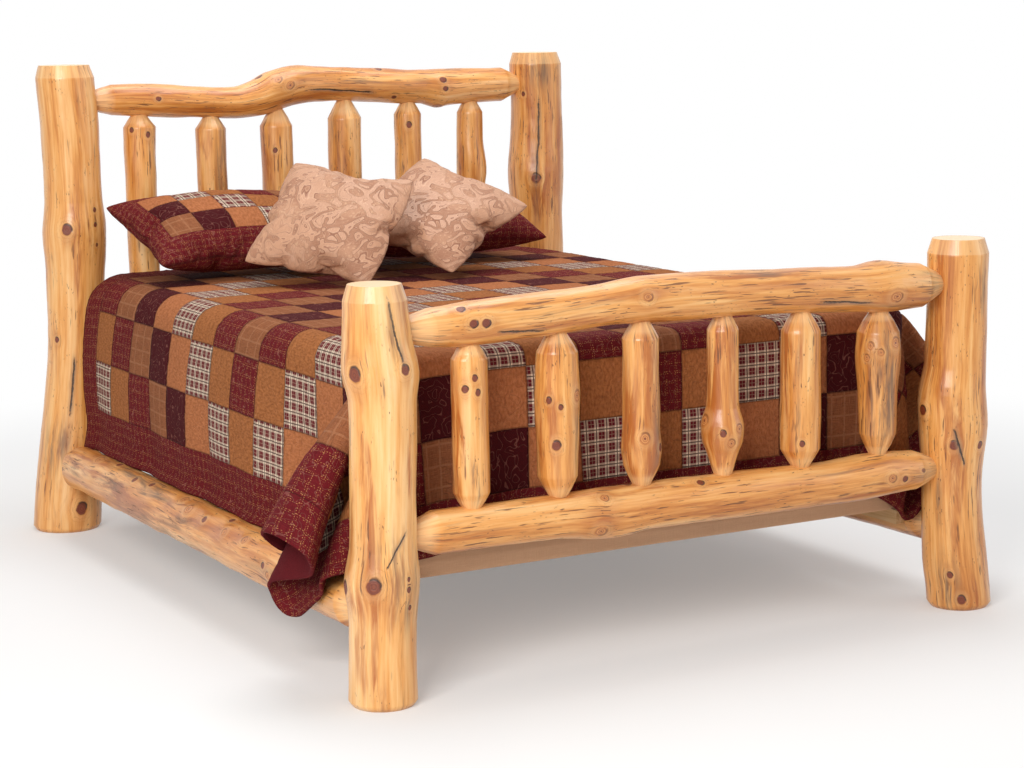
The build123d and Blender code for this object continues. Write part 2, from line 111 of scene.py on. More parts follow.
def makeLamp(name, place, size, power, colour):
    data = bpy.data.lights.new(name, "AREA")
    data.shape = "SQUARE"
    data.size = size
    data.energy = power
    data.color = colour
    aim = (Vector(lampAim) - Vector(place)).to_track_quat("-Z", "Y")
    addThing(name, data).matrix_world = Matrix.Translation(place) @ aim.to_matrix().to_4x4()


class Signal:
    # one output of a node, so that shader maths reads as a Python expression
    def __init__(self, look, socket):
        self.look = look
        self.socket = socket

    def other(self, name):
        return Signal(self.look, self.socket.node.outputs[name])

    def calc(self, operation, *values):
        return self.look.node("Math", {"operation": operation}, dict(enumerate(values)))

    def __rsub__(self, value):
        return self.calc("SUBTRACT", value, self)

    def equals(self, value):
        return self.calc("COMPARE", self, value, 0.5)

    def rise(self, low, high):
        # 0 below low and 1 above high, or the other way round where low is the larger
        up = low < high
        return self.look.node(
            "MapRange", {"interpolation_type": "SMOOTHSTEP"},
            {0: self, 1: min(low, high), 2: max(low, high), 3: 0.0 if up else 1.0,
             4: 1.0 if up else 0.0})


signalMaths = {
    "__add__": "ADD", "__radd__": "ADD", "__sub__": "SUBTRACT", "__mul__": "MULTIPLY",
    "__rmul__": "MULTIPLY", "__truediv__": "DIVIDE", "least": "MINIMUM", "most": "MAXIMUM",
    "size": "ABSOLUTE", "sine": "SINE", "floor": "FLOOR", "wrap": "FLOORED_MODULO",
}
for methodName, mathsName in signalMaths.items():
    setattr(Signal, methodName, lambda self, *values, operation=mathsName:
            self.calc(operation, self, *values))


class Look:
    # a node material, or the world's nodes, with the few methods that fill it
    def __init__(self, name, holder=None):
        self.holder = holder or bpy.data.materials.new(name)
        self.holder.use_nodes = True
        self.tree = self.holder.node_tree
        self.tree.nodes.clear()

    def node(self, kind, settings=None, sockets=None, output=0):
        made = self.tree.nodes.new("ShaderNode" + kind)
        for name, value in (settings or {}).items():
            if name == "stops":
                self.fillRamp(made.color_ramp, value)
            else:
                setattr(made, name, value)
        for name, value in (sockets or {}).items():
            if isinstance(value, Signal):
                self.tree.links.new(value.socket, made.inputs[name])
            else:
                made.inputs[name].default_value = value
        return Signal(self, made.outputs[output])

    def fillRamp(self, ramp, stops):
        while len(ramp.elements) > 1:
            ramp.elements.remove(ramp.elements[-1])
        for number, (place, colour) in enumerate(stops):
            element = ramp.elements[0] if number == 0 else ramp.elements.new(place)
            element.position = place
            element.color = (*colour, 1.0)

    def attribute(self, name, output="Vector"):
        return self.node("Attribute", {"attribute_name": name}, output=output)

    def value(self, name):
        return self.attribute(name, "Fac")

    def place(self):
        return self.node("TexCoord", output="Object")

    def parts(self, vector):
        whole = self.node("SeparateXYZ", None, {0: vector}, "X")
        return whole, whole.other("Y"), whole.other("Z")

    def vector(self, x, y, z):
        return self.node("CombineXYZ", None, {0: x, 1: y, 2: z})

    def stretch(self, vector, share):
        return self.node("VectorMath", {"operation": "MULTIPLY"}, {0: vector, 1: share})

    def shift(self, vector, other):
        return self.node("VectorMath", {"operation": "ADD"}, {0: vector, 1: other})

    def length(self, vector):
        return self.node("VectorMath", {"operation": "LENGTH"}, {0: vector}, "Value")

    def noise(self, vector, scale, detail=3.0, roughness=0.55, distortion=0.0, output=0):
        return self.node("TexNoise", None, {"Vector": vector, "Scale": scale, "Detail": detail,
                                            "Roughness": roughness, "Distortion": distortion},
                         output)

    def grain(self, vector, share, *facts):
        # noise drawn out along the third axis; the less the share, the longer
        return self.noise(self.stretch(vector, (1.0, 1.0, share)), *facts)

    def mix(self, share, first, second):
        shades = [(*c, 1.0) if isinstance(c, tuple) else c for c in (first, second)]
        return self.node("Mix", {"data_type": "RGBA"}, {0: share, 6: shades[0], 7: shades[1]}, 2)

    def ramp(self, signal, stops):
        return self.node("ValToRGB", {"stops": stops}, {0: signal})

    def surface(self, colour, roughness, height, depth, **fixed):
        # depth is how deep the bumps of height look, in metres
        bump = self.node("Bump", None, {"Height": height, "Strength": 1.0, "Distance": depth},
                         "Normal")
        sockets = {"Base Color": colour, "Roughness": roughness, "Normal": bump}
        for name, value in fixed.items():
            sockets[name.replace("_", " ")] = value
        return self.output(self.node("BsdfPrincipled", None, sockets))

    def output(self, shader, kind="Material"):
        made = self.tree.nodes.new("ShaderNodeOutput" + kind)
        self.tree.links.new(shader.socket, made.inputs[0])
        return self.holder

    def seen(self):
        # 1 for what the camera sees straight, in gloss or through glass
        path = self.node("LightPath", output="Is Camera Ray")
        return path.most(path.other("Is Glossy Ray")).most(path.other("Is Transmission Ray"))


room = {
    "reach": 14.0,                      # half the floor's width
    "paint": (0.86, 0.86, 0.86, 1.0),
    "shadowTo": (1.7, 3.6),             # from here on the floor fades to pure white
    "nearGlow": 0.25,                   # and this much of it shows under the bed
    "light": 0.36,                      # of the world, on the bed
}


def makeFloor():
    look = Look("paleFloor")
    seen = look.seen()
    lit = look.node("BsdfDiffuse", None, {"Color": room["paint"]})
    glow = look.node("Emission", None, {"Color": (1.0, 1.0, 1.0, 1.0), "Strength": 1.0})
    away = look.length(look.place()).rise(*room["shadowTo"])
    share = seen * (room["nearGlow"] + (1.0 - room["nearGlow"]) * away)
    reach = room["reach"]
    mesh = addMesh("floor", [(-reach, -reach, 0), (reach, -reach, 0), (reach, reach, 0),
                             (-reach, reach, 0)], [(0, 1, 2, 3)])
    mesh.materials.append(look.output(look.node("MixShader", None, {0: share, 1: lit, 2: glow})))
    addThing("floor", mesh)


def makeWorld():
    scene.world = bpy.data.worlds.new("studio")
    look = Look("studio", scene.world)
    dim, white = (look.node("Background", None, {0: (1.0, 1.0, 1.0, 1.0), 1: strength})
                  for strength in (room["light"], 1.0))
    look.output(look.node("MixShader", None, {0: look.seen(), 1: dim, 2: white}), "World")


scene.view_settings.view_transform = "Standard"
makeCamera(cameraView)
for lampName, lampFacts in lamps.items():
    makeLamp(lampName, *lampFacts)
makeFloor()
makeWorld()
print("camera, floor and lights are up")


logWood = {
    "cellAlong": 0.0072,
    "cellAround": 0.0068,
    "cellLeast": 0.0008,
    "swell": 0.0016,         # slow humps of the trunk
    "ripple": 0.0006,        # marks of the peeling knife
    "fullRing": 60,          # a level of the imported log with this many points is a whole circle
    "rim": 0.0012,           # points this near the outermost one are on the circle
    "facets": 11,            # flats that a sharpened end has round it
    "facetDepth": 0.95,
    "endReach": 0.17,        # a sharpened end is no longer than this
    "trunkFrom": 0.16,       # share of the length from which the trunk has its full girth
    "knotSets": 3,           # neighbouring knots are kept in different attributes
    "knotReach": 7.0,        # how many of its radii a knot marks the wood round it
    "soundSwell": 0.003,     # a knot with this much swell is a sound, pale one
    "pit": 0.0022,           # how deep a knot's heart lies
    "sprinkle": 2,           # knots added where none is listed
    "crackReach": 0.07,      # from a crack's middle line to where it no longer shows
    "amber": 0.8, "grey": 1.0,          # strength of the placed stains
    "capRings": 9,
    "bevelHigh": 0.038,      # round the top of a post
    "bevelIn": 0.012,
    "deepest": 0.0012,       # of the bumps in its shading
}
noMark = [1.0, 1.0, 0.0002]      # what the shading reads where there is no knot

woodColours = {
    "streaks": ((0.32, (0.36, 0.098, 0.017)), (0.41, (0.60, 0.225, 0.044)),
                (0.49, (0.77, 0.350, 0.094)), (0.58, (0.86, 0.480, 0.180)),
                (0.70, (0.91, 0.610, 0.310))),
    "amber": (0.40, 0.105, 0.018), "grey": (0.175, 0.100, 0.058), "dash": (0.125, 0.040, 0.013),
    "tail": (0.50, 0.160, 0.025), "collar": (0.90, 0.60, 0.28), "whorl": (0.50, 0.20, 0.045),
    "heart": ((0.150, 0.026, 0.009), (0.270, 0.062, 0.018)),
    "sound": ((0.62, 0.270, 0.085), (0.42, 0.130, 0.030)), "rim": (0.034, 0.011, 0.006),
    "crackHalo": (0.30, 0.175, 0.095), "crack": (0.035, 0.018, 0.012),
    # the shaved colour is paler knife-cut wood together with a painted highlight on its shoulders
    "endGrain": ((0.88, 0.64, 0.34), (0.70, 0.40, 0.15)), "shaved": (0.88, 0.60, 0.31),
}


def peeledLog():
    # varnished pine: long streaks that flow round the knots, dashes, stains and end grain
    look, shades = Look("peeledLog"), woodColours
    wood = look.attribute("logSpace")
    tone = look.value("logTone")
    slow = look.grain(wood, 0.10, 14.0, 3.0, 0.5)
    streak = look.grain(wood, 0.055, 62.0, 4.0, 0.6, 0.3)
    fine = look.grain(wood, 0.05, 260.0, 3.0, 0.6)
    colour = look.ramp(streak * 0.46 + slow * 0.42 + fine * 0.12 + tone, shades["streaks"])
    # amber and grey weathering, broken up along the grain
    patch = look.grain(wood, 0.16, 11.0, 4.0, 0.65, 0.6)
    torn = look.grain(look.shift(wood, (3.0, 1.0, 7.0)), 0.10, 36.0, 4.0, 0.7, 0.5)
    amber = patch.rise(0.50, 0.64) * torn.rise(0.35, 0.60) * 0.85 \
        + look.value("amber") * torn.rise(0.30, 0.60)
    grey = patch.rise(0.43, 0.31) * torn.rise(0.48, 0.66) * 0.8 \
        + look.value("grey") * torn.rise(0.38, 0.66)
    colour = look.mix(amber.least(0.9), colour, shades["amber"])
    colour = look.mix(grey.least(0.85), colour, shades["grey"])
    # dark dashes along the grain, and short specks
    dash = look.grain(look.shift(wood, (0.0, 5.0, 2.0)), 0.075, 150.0, 2.0, 0.5) \
        .rise(0.61, 0.67) * (look.noise(wood, 9.0, 2.0) - tone * 2.2).rise(0.44, 0.60)
    speck = look.grain(wood, 0.30, 230.0, 1.0).rise(0.66, 0.72) \
        * (look.noise(wood, 16.0, 2.0) - tone).rise(0.48, 0.62)
    marks = dash.most(speck)
    colour = look.mix(marks * 0.80, colour, shades["dash"])
    # knots: a red-brown core with rings, a dark crescent, a pale collar and an amber tail
    wobble = look.noise(wood, 70.0, 2.0) - 0.5
    far, tail, lean, grown = None, None, None, 0.0
    for number in range(logWood["knotSets"]):
        across, along, signed = look.parts(look.attribute(f"knot{number}"))
        radius = signed.size()
        away = look.length(look.vector(across, along * 0.86, 0.0)) / radius
        trail = (across.size() / radius).rise(1.7, 0.2) * (along.size() / radius).rise(5.5, 1.2)
        side = (across * 0.7 + along) / (radius * away + 0.0001) * away.rise(2.0, 1.5)
        far = away if far is None else far.least(away)
        tail = trail if tail is None else tail.most(trail)
        lean = side if lean is None else lean + side
        grown = signed.rise(-0.0010, -0.0030) * away.rise(1.6, 1.3) + grown
    far = far + wobble * 0.5
    core = far.rise(1.06, 0.90)
    crescent = lean.rise(0.1, 0.8)
    rim = far.rise(0.70, 0.95) * far.rise(1.30, 1.02) * (0.12 + 0.88 * crescent) \
        * (1.0 - 0.45 * grown)
    collar = far.rise(1.0, 1.25) * far.rise(2.5, 1.4)
    rings = (far * 17.0 + wobble * 6.0).sine() * 0.5 + 0.5
    whorl = (far * 9.0 + wobble * 9.0).sine().rise(0.55, 0.95) * far.rise(1.1, 1.3) \
        * far.rise(3.4, 1.6)
    heart = look.mix(rings * 0.5, *shades["heart"])
    heart = look.mix(grown * far.rise(0.12, 0.30), heart, look.mix(rings, *shades["sound"]))
    for share, shade in ((tail * 0.55, shades["tail"]), (collar * 0.16, shades["collar"]),
                         (whorl * 0.35, shades["whorl"]), (core, heart),
                         (rim * 0.9, shades["rim"])):
        colour = look.mix(share, colour, shade)
    # cracks and strips of bark left in a fold of the wood
    across, along, reach = look.parts(look.attribute("crack"))
    wander = look.grain(wood, 0.5, 26.0, 3.0) - 0.5
    ragged = look.noise(wood, 120.0, 2.0) - 0.5
    beside = (across + wander * 0.014).size()
    crack = (beside + ragged * 0.004).rise(0.0034, 0.0010) \
        * (along.size() / reach + ragged * 0.5).rise(1.0, 0.7)
    halo = beside.rise(0.014, 0.002) * (along.size() / reach).rise(1.1, 0.6)
    colour = look.mix(halo * torn.rise(0.3, 0.6) * 0.7, colour, shades["crackHalo"])
    colour = look.mix(crack * 0.92, colour, shades["crack"])
    # sawn ends: growth rings round the pith
    x, y, _ = look.parts(wood)
    pith = look.length(look.vector(x, y, 0.0))
    growth = ((pith + wobble * 0.004) * 900.0).sine() * 0.5 + 0.5
    cut = look.mix(growth * 0.45, *shades["endGrain"])
    colour = look.mix(look.value("endGrain"), colour, cut)
    # knife-cut ends, bevels and flats get paler shaved wood, partly a painted highlight that makes their shoulders
    # read
    colour = look.mix(look.value("shaved") * (0.26 + 0.30 * fine), colour, shades["shaved"])
    height = streak * 0.30 + fine * 0.16 - marks * 0.5 - rim * 1.1 + rings * core * 0.25 \
        - crack * 2.2 - whorl * 0.2
    roughness = 0.33 + grey * 0.22 + marks * 0.15 + core * 0.1 + (fine - 0.5) * 0.12
    return look.surface(colour, roughness, height, logWood["deepest"], Coat_Weight=0.22,
                        Coat_Roughness=0.18)


sawnPine = {
    # how the grain is drawn out, scale of its streaks, share of slow shades, and its colours
    "sawnBoard": ((0.05, 1.0, 1.0), 75.0, 0.4, (
        (0.30, (0.52, 0.31, 0.13)), (0.50, (0.70, 0.48, 0.25)), (0.70, (0.80, 0.60, 0.36)))),
    "sawnCleat": ((1.0, 0.05, 1.0), 90.0, 0.0, (
        (0.30, (0.50, 0.30, 0.12)), (0.52, (0.70, 0.47, 0.24)), (0.72, (0.78, 0.58, 0.34)))),
}


def planedBoard(name):
    look = Look(name)
    drawn, scale, slowly, shades = sawnPine[name]
    along = look.stretch(look.place(), drawn)
    streak = look.noise(along, scale, 4.0, 0.6, 0.4)
    colour = look.ramp(streak * (1.0 - slowly) + look.noise(along, 12.0, 2.0) * slowly, shades)
    return look.surface(colour, 0.62 + streak * 0.15, streak, 0.0006)


def zincSteel():
    look = Look("zincSteel")
    spangle = look.noise(look.place(), 420.0, 3.0)
    tarnish = look.noise(look.place(), 60.0, 3.0)
    colour = look.ramp(spangle * 0.5 + tarnish * 0.5, (
        (0.35, (0.34, 0.34, 0.33)), (0.60, (0.60, 0.60, 0.60))))
    return look.surface(colour, 0.30 + tarnish * 0.25, spangle, 0.0001, Metallic=1.0)


woodLook = peeledLog()
steelLook = zincSteel()


def addPiece(name, points, faces, look):
    mesh = addMesh(name, points.tolist(), faces)
    mesh.materials.append(look)
    mesh.polygons.foreach_set("use_smooth", [True] * len(mesh.polygons))
    return addThing(name, mesh)


def addAttribute(mesh, name, values, kind="FLOAT"):
    made = mesh.attributes.new(name, kind, "POINT")
    field = "value" if kind == "FLOAT" else "vector"
    made.data.foreach_set(field, np.asarray(values, np.float32).ravel())


def finishPiece(piece, body, slot, *nodes):
    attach(piece, body)
    if nodes:
        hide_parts(*nodes)


def readRings(node, axis):
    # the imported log's circles: place along its axis, centre and radius, from its own mesh
    points = pointsOf(frame["nodes"][node].data)
    levels = np.round(points[:, axis], 4)
    rings = []
    for level in np.unique(levels):
        ring = points[levels == level]
        if len(ring) < logWood["fullRing"]:
            continue
        u, v = ring[:, (axis + 1) % 3], ring[:, (axis + 2) % 3]
        for _ in range(3):      # fit, keep the outer circle, fit again
            system = np.stack([2 * u, 2 * v, np.ones(len(u))], 1)
            cu, cv, rest = np.linalg.lstsq(system, u**2 + v**2, rcond=None)[0]
            radius = math.sqrt(max(rest + cu**2 + cv**2, 1e-9))
            away = np.hypot(u - cu, v - cv)
            keep = away > away.max() - logWood["rim"]
            if keep.sum() < logWood["fullRing"] / 5:
                break
            u, v = u[keep], v[keep]
        rings.append((float(level), cu, cv, radius))
    return np.array(rings)


def waves(rng, around, along, count, mostAround, shortest, longest):
    # a smooth field over a log that closes on itself round the trunk
    field = np.zeros(np.broadcast(around, along).shape)
    for _ in range(count):
        turns = rng.integers(0, mostAround + 1)
        span = rng.uniform(shortest, longest)
        field += np.cos(turns * around + fullTurn * along / span + rng.uniform(0, 6.28)) \
            * rng.uniform(0.4, 1.0)
    return field / math.sqrt(count)


def turnFrom(around, degrees):
    # how far round the log a point is from a place, from minus to plus half a turn
    return (around - math.radians(degrees) + math.pi) % fullTurn - math.pi


def growKnots(knots, maySound, around, along, radii):
    # knots swell the log and bend its grain; the shading gets the nearest knots of each set
    sets, shape = range(logWood["knotSets"]), around.shape
    nearest = [np.full(shape, 1e9) for _ in sets]
    marks = [np.tile(noMark, (*shape, 1)) for _ in sets]
    taken = [[] for _ in sets]
    warp = np.zeros(shape)
    for degrees, where, size, bump in knots:
        across, lengthwise = turnFrom(around, degrees) * radii, along - where
        away = np.hypot(across, lengthwise)
        radii = radii + bump * np.exp(-(away / (2.6 * size))**2) \
            - logWood["pit"] * np.exp(-(away / (0.62 * size))**2)
        room = [min([abs(where - w) for w in group], default=9.0) for group in taken]
        group = int(np.argmax(room))
        taken[group].append(where)
        closer = (away / size < nearest[group]) & (away / size < logWood["knotReach"])
        nearest[group] = np.where(closer, away / size, nearest[group])
        signed = -size if maySound and bump >= logWood["soundSwell"] else size
        here = np.stack([across, lengthwise, np.full(shape, signed)], -1)
        marks[group] = np.where(closer[..., None], here, marks[group])
        warp -= across * 1.5 * size**2 / (away**2 + 0.6 * size**2) * np.exp(-away / (7 * size))
    return radii, warp, marks


def markStains(stains, around, along, radii):
    shape = around.shape
    spots = {"amber": np.zeros(shape), "grey": np.zeros(shape)}
    crack, nearest = np.tile([1.0, 1.0, 0.1], (*shape, 1)), np.full(shape, 1e9)
    for degrees, where, wide, tall, kind in stains:
        across, lengthwise = turnFrom(around, degrees) * radii, along - where
        if kind == "crack":       # wide is how far it leans sideways at its upper end
            across = across - wide * lengthwise / tall
            closer = (np.abs(across) < nearest) & (np.abs(across) < logWood["crackReach"]) \
                & (np.abs(lengthwise) < 1.6 * tall)
            nearest = np.where(closer, np.abs(across), nearest)
            here = np.stack([across, lengthwise, np.full(shape, tall)], -1)
            crack = np.where(closer[..., None], here, crack)
        else:
            spots[kind] += logWood[kind] * np.exp(-(across / wide)**2 - (lengthwise / tall)**2)
    return crack, spots


def closeEnds(points, fields, faces, count):
    # a disc of rings over each end of a log: its shading narrows to the pith, without knots
    parts, closed = [points], {label: [values] for label, values in fields.items()}
    total = len(points)
    for first, low in ((0, True), (total - count, False)):
        rim, previous = slice(first, first + count), range(first, first + count)
        middle = points[rim].mean(0)
        for ring in range(1, logWood["capRings"] + 1):
            share = 1 - ring / logWood["capRings"]
            size = 1 if ring == logWood["capRings"] else count      # 1 for the hub
            parts.append((middle + (points[rim] - middle) * share)[:size])
            for label, values in fields.items():
                fresh = values[rim]
                if label == "logSpace":
                    fresh = fresh * (share, share, 1.0)
                elif label == "endGrain":
                    fresh = np.ones(count)
                elif fresh.ndim > 1:
                    fresh = np.tile(noMark, (count, 1))
                closed[label].append(fresh[:size])
            for c in range(count):
                d = (c + 1) % count
                if size == 1:
                    pair = (d, c) if low else (c, d)
                    faces.append((previous[pair[0]], previous[pair[1]], total))
                else:
                    quad = (previous[c], previous[d], total + d, total + c)
                    faces.append(quad[::-1] if low else quad)
            previous = range(total, total + count)
            total += size
    return np.concatenate(parts), {label: np.concatenate(values)
                                   for label, values in closed.items()}


def logMesh(name, axis, rings, facts, seed, planed):
    rng = np.random.default_rng(seed)
    isPost = "post" in name
    start, end = rings[0, 0], rings[-1, 0]
    length = end - start
    places = np.linspace(start, end, max(int(length / logWood["cellAlong"]), 8))
    bevelHigh = logWood["bevelHigh"] if isPost else 1e-9
    places = np.unique(np.concatenate([places, rings[:, 0], [end - bevelHigh]]))
    places = places[np.diff(places, prepend=start - 1.0) > logWood["cellLeast"]]
    centreU, centreV, radius = (np.interp(places, rings[:, 0], rings[:, n]) for n in (1, 2, 3))
    girth = radius.max()
    bevelled = np.clip((places - end) / bevelHigh + 1, 0, 1) * isPost
    shoulder = np.interp(end - bevelHigh, places, radius)
    radius = np.where(bevelled > 0, shoulder - logWood["bevelIn"] * bevelled, radius)
    flats = logWood["facets"] + int(rng.integers(-2, 3))
    count = flats * round(fullTurn * girth / logWood["cellAround"] / flats)
    around, along = np.meshgrid(np.arange(count) * fullTurn / count, places)
    radii = np.repeat(radius[:, None], count, 1)
    # how far each place is inside a sharpened end: 0 on the trunk, 1 at the nose
    edge = logWood["trunkFrom"] * length
    trunk = np.where(np.arange(len(places)) < len(places) // 2,
                     np.interp(start + edge, places, radius),
                     np.interp(end - edge, places, radius))
    sharp = np.clip((trunk * 0.93 - radius) / (trunk * 0.4), 0, 1)
    atEnd = np.minimum(places - start, end - places) < logWood["endReach"]
    sharp = np.where(atEnd & ~(bevelled > 0), sharp, 0)
    hidden = sharp > 0.9      # the tenon, in its mortise
    soft = (1 - np.clip(sharp * 2, 0, 1))[:, None]
    radii = radii + soft * logWood["swell"] * waves(rng, around, along, 14, 4, 0.12, 0.8)
    radii = radii + soft * logWood["ripple"] * waves(rng, around, along, 26, 12, 0.05, 0.5)
    sector = around % (fullTurn / flats) - math.pi / flats
    facet = math.cos(math.pi / flats) / np.cos(sector)
    weight = (np.clip(sharp * 3, 0, 1) * ~hidden)[:, None] * logWood["facetDepth"]
    radii = radii * (1 + weight * (facet - 1))
    knots = list(facts.get("knots", ()))
    for _ in range(logWood["sprinkle"]):
        where = rng.uniform(start + 0.12 * length, end - 0.12 * length)
        knots.append((rng.uniform(20, 130), where, rng.uniform(0.005, 0.010),
                      rng.uniform(0.0, 0.002)))
    radii, warp, marks = growKnots(knots, not isPost, around, along, radii)
    crack, spots = markStains(facts.get("stains", ()), around, along, radii)
    grain = around + warp / radii
    u = centreU[:, None] + radii * np.cos(around)
    v = centreV[:, None] + radii * np.sin(around)
    # shaved wood of sharpened ends and bevels, which also carries a painted highlight
    shaved = np.maximum(np.clip(sharp * 3, 0, 1), 0.7 * (bevelled > 0))
    shaved = np.repeat(shaved[:, None], count, 1)
    if planed:      # the flat that carries the cleat
        side, plane, halfLength = planed
        beyond = (v * side < plane * side) & (np.abs(along) < halfLength)
        v = np.where(beyond, plane, v)
        shaved = np.maximum(shaved, beyond)
    points = np.zeros((u.size, 3))
    points[:, axis] = along.ravel()
    points[:, (axis + 1) % 3] = u.ravel()
    points[:, (axis + 2) % 3] = v.ravel()
    space = np.stack([girth * np.cos(grain), girth * np.sin(grain), along + 5.0 * seed], -1)
    fields = {"logSpace": space, **{f"knot{n}": mark for n, mark in enumerate(marks)},
              "crack": crack, **spots, "shaved": shaved, "endGrain": np.zeros(u.shape)}
    fields = {label: values.reshape(u.size, -1) if values.ndim > 2 else values.ravel()
              for label, values in fields.items()}
    rows = len(places)
    faces = gridFaces(rows, count, True)
    points, fields = closeEnds(points, fields, faces, count)
    piece = addPiece(name + "_log", points, faces, woodLook)
    # the flats of a sharpened end keep their edges
    cutRow = ((sharp > 0.02) & ~hidden) | (bevelled > 0)
    crisp = np.zeros(len(faces), bool)
    crisp[:(rows - 1) * count] = np.repeat(cutRow[:-1] & cutRow[1:], count)
    piece.data.polygons.foreach_set("use_smooth", ~crisp)
    fields["logTone"] = np.full(len(points), facts["tone"])
    for label, values in fields.items():
        addAttribute(piece.data, label, values, "FLOAT" if values.ndim == 1 else "FLOAT_VECTOR")
    return piece


